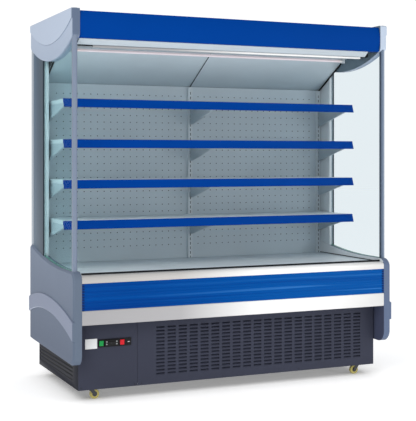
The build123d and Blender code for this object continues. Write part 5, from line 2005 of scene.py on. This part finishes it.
# ---------------------------------------------------------------- castors
@dataclass
class Castor:
    """One swivel castor: plated fork and an amber wheel with a dark hub."""

    palette: Palette
    row: Row
    side: Side
    bore: float = 0.0047
    hub: float = 0.013
    hub_step: Span = (0.0010, 0.0018)  # the hub's rim: how wide, and how deep to the wheel's web
    tread: tuple[Span, ...] = (  # in from the wheel's radius, and in from its face
        (0.0052, 0.0018), (0.0042, 0.0002), (0.0022, 0.0004), (0.0006, 0.0022), (0.0, 0.0050),
    )
    hub_tolerance: float = 0.0002
    steps: int = 64

    def build(self) -> None:
        """Dress the fork and turn the wheel."""
        where = f"{self.row.value}_{self.side.name.lower()}"
        softened(f"castor_fork_{where}", self.palette.zinc, edge_mm=0.4, segments=1)
        self.wheel(f"castor_wheel_{where}")

    def wheel(self, node: str) -> None:
        """Turn the wheel with rounded tread shoulders and a recessed hub.

        Args:
            node: the CAD wheel that it replaces.
        """
        low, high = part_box(node)
        centre = tuple((a + b) / 2 for a, b in zip(low, high))
        radius = (high[2] - low[2]) / 2
        half = (high[1] - low[1]) / 2
        wide, deep = self.hub_step
        face = [(self.bore, -half), (self.hub, -half), (self.hub + wide, -half + deep)]
        face += [(radius - inset, -half + depth) for inset, depth in self.tread]
        outline = face + [(r, -y) for r, y in reversed(face)]
        mesh = lathe_mesh(f"{node}_turned", outline, centre, Axis.Y, self.steps)
        mesh.materials.append(self.palette.wheel)
        mesh.materials.append(self.palette.zinc)
        for polygon in mesh.polygons:
            corners = [mesh.vertices[v].co for v in polygon.vertices]
            reach = max(math.hypot(corner.x - centre[0], corner.z - centre[2]) for corner in corners)
            polygon.material_index = 1 if reach <= self.hub + self.hub_tolerance else 0
        stand_in(link_object(mesh.name, mesh), node)


# ---------------------------------------------------------------- machine bay
@dataclass
class MachineBay:
    """Refrigeration parts behind the grilles and under the deck."""

    palette: Palette

    def build(self) -> None:
        """Give the bay's nodes their finishes."""
        finishes = {
            "condenser_coil": self.palette.dark,
            "condenser_shroud": self.palette.chassis,
            "condenser_fan": self.palette.bezel,
            "compressor": self.palette.enamel,
            "refrigerant_pipes": self.palette.copper,
            "evaporator_coil": self.palette.fins,
            "evaporator_fan_plate": self.palette.shroud,
            "evaporator_fan_left": self.palette.bezel,
            "evaporator_fan_right": self.palette.bezel,
        }
        for node, material in finishes.items():
            dress(node, material)


# ---------------------------------------------------------------- night curtain
@dataclass
class NightCurtain:
    """Roller cassette, roller, pull bar and the short hanging run of cloth."""

    palette: Palette
    half_width: float = 0.800
    plane_y: float = -0.323
    top: float = 1.880
    bottom: float = 1.822
    cloth: float = 0.0005
    cells: tuple[int, int] = (160, 16)  # across and down
    ripple: float = 0.00018
    ripple_turn: float = 23.0  # radians of the wave for each metre across

    def build(self) -> None:
        """Dress the curtain and lay its cloth."""
        dress("curtain_cassette", self.palette.housing)
        dress("curtain_roller", self.palette.cloth)
        softened("curtain_bar", self.palette.silver, edge_mm=0.3, segments=1)
        self.hang(self.cloth_mesh())

    def cloth_mesh(self) -> Mesh:
        """Weave the cloth's two faces and its edges, with the faint waves of a taut roller blind.

        Returns:
            The closed mesh.
        """
        across, down = self.cells
        shape = bmesh.new()
        layers = []
        for face_y in (self.plane_y - self.cloth / 2, self.plane_y + self.cloth / 2):
            layer = []
            for n in range(down + 1):
                z = self.bottom + (self.top - self.bottom) * n / down
                row = []
                for m in range(across + 1):
                    x = -self.half_width + 2 * self.half_width * m / across
                    wave = self.ripple * math.sin(x * self.ripple_turn) * math.sin(math.pi * n / down)
                    row.append(shape.verts.new((x, face_y + wave, z)))
                layer.append(row)
            layers.append(layer)
        for layer in layers:
            for low, high in zip(layer, layer[1:]):
                for m in range(across):
                    shape.faces.new((low[m], low[m + 1], high[m + 1], high[m]))
        front, rear = layers
        for n in range(down):
            for m in (0, across):
                shape.faces.new((front[n][m], front[n + 1][m], rear[n + 1][m], rear[n][m]))
        for n in (0, down):
            for m in range(across):
                shape.faces.new((front[n][m], front[n][m + 1], rear[n][m + 1], rear[n][m]))
        mesh = mesh_from("curtain_cloth", shape)
        mesh.materials.append(self.palette.cloth)
        smooth_by_angle(mesh, MOULDED_DEGREES)
        return mesh

    def hang(self, mesh: Mesh) -> None:
        """Add the cloth to the scene in its place and hide the CAD fabric.

        Args:
            mesh: the cloth, in its plane.
        """
        piece = link_object("curtain_cloth", mesh)
        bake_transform(piece)
        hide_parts("curtain_fabric")


# ---------------------------------------------------------------- the whole
def write_size() -> None:
    """Bring the scene's evaluated state up to date."""
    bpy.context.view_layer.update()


def main() -> None:
    """Build the studio and dress every sub-assembly."""
    logging.basicConfig(level=logging.INFO, format="%(levelname)s %(message)s")
    studio = Studio()
    studio.camera()
    palette = Palette()
    studio.lights()
    studio.floor(palette.floor)
    assemblies = [
        CabinetEnds(palette),
        Canopy(palette),
        OuterShell(palette),
        Shelving(palette),
        Deck(palette),
        Plinth(palette),
        ControlStrip(palette),
        MachineBay(palette),
        NightCurtain(palette),
        *(Castor(palette, row, side) for row in Row for side in Side),
    ]
    for assembly in assemblies:
        log.info("assembly %s", type(assembly).__name__)
        assembly.build()
    write_size()


if __name__ == "__main__":
    main()
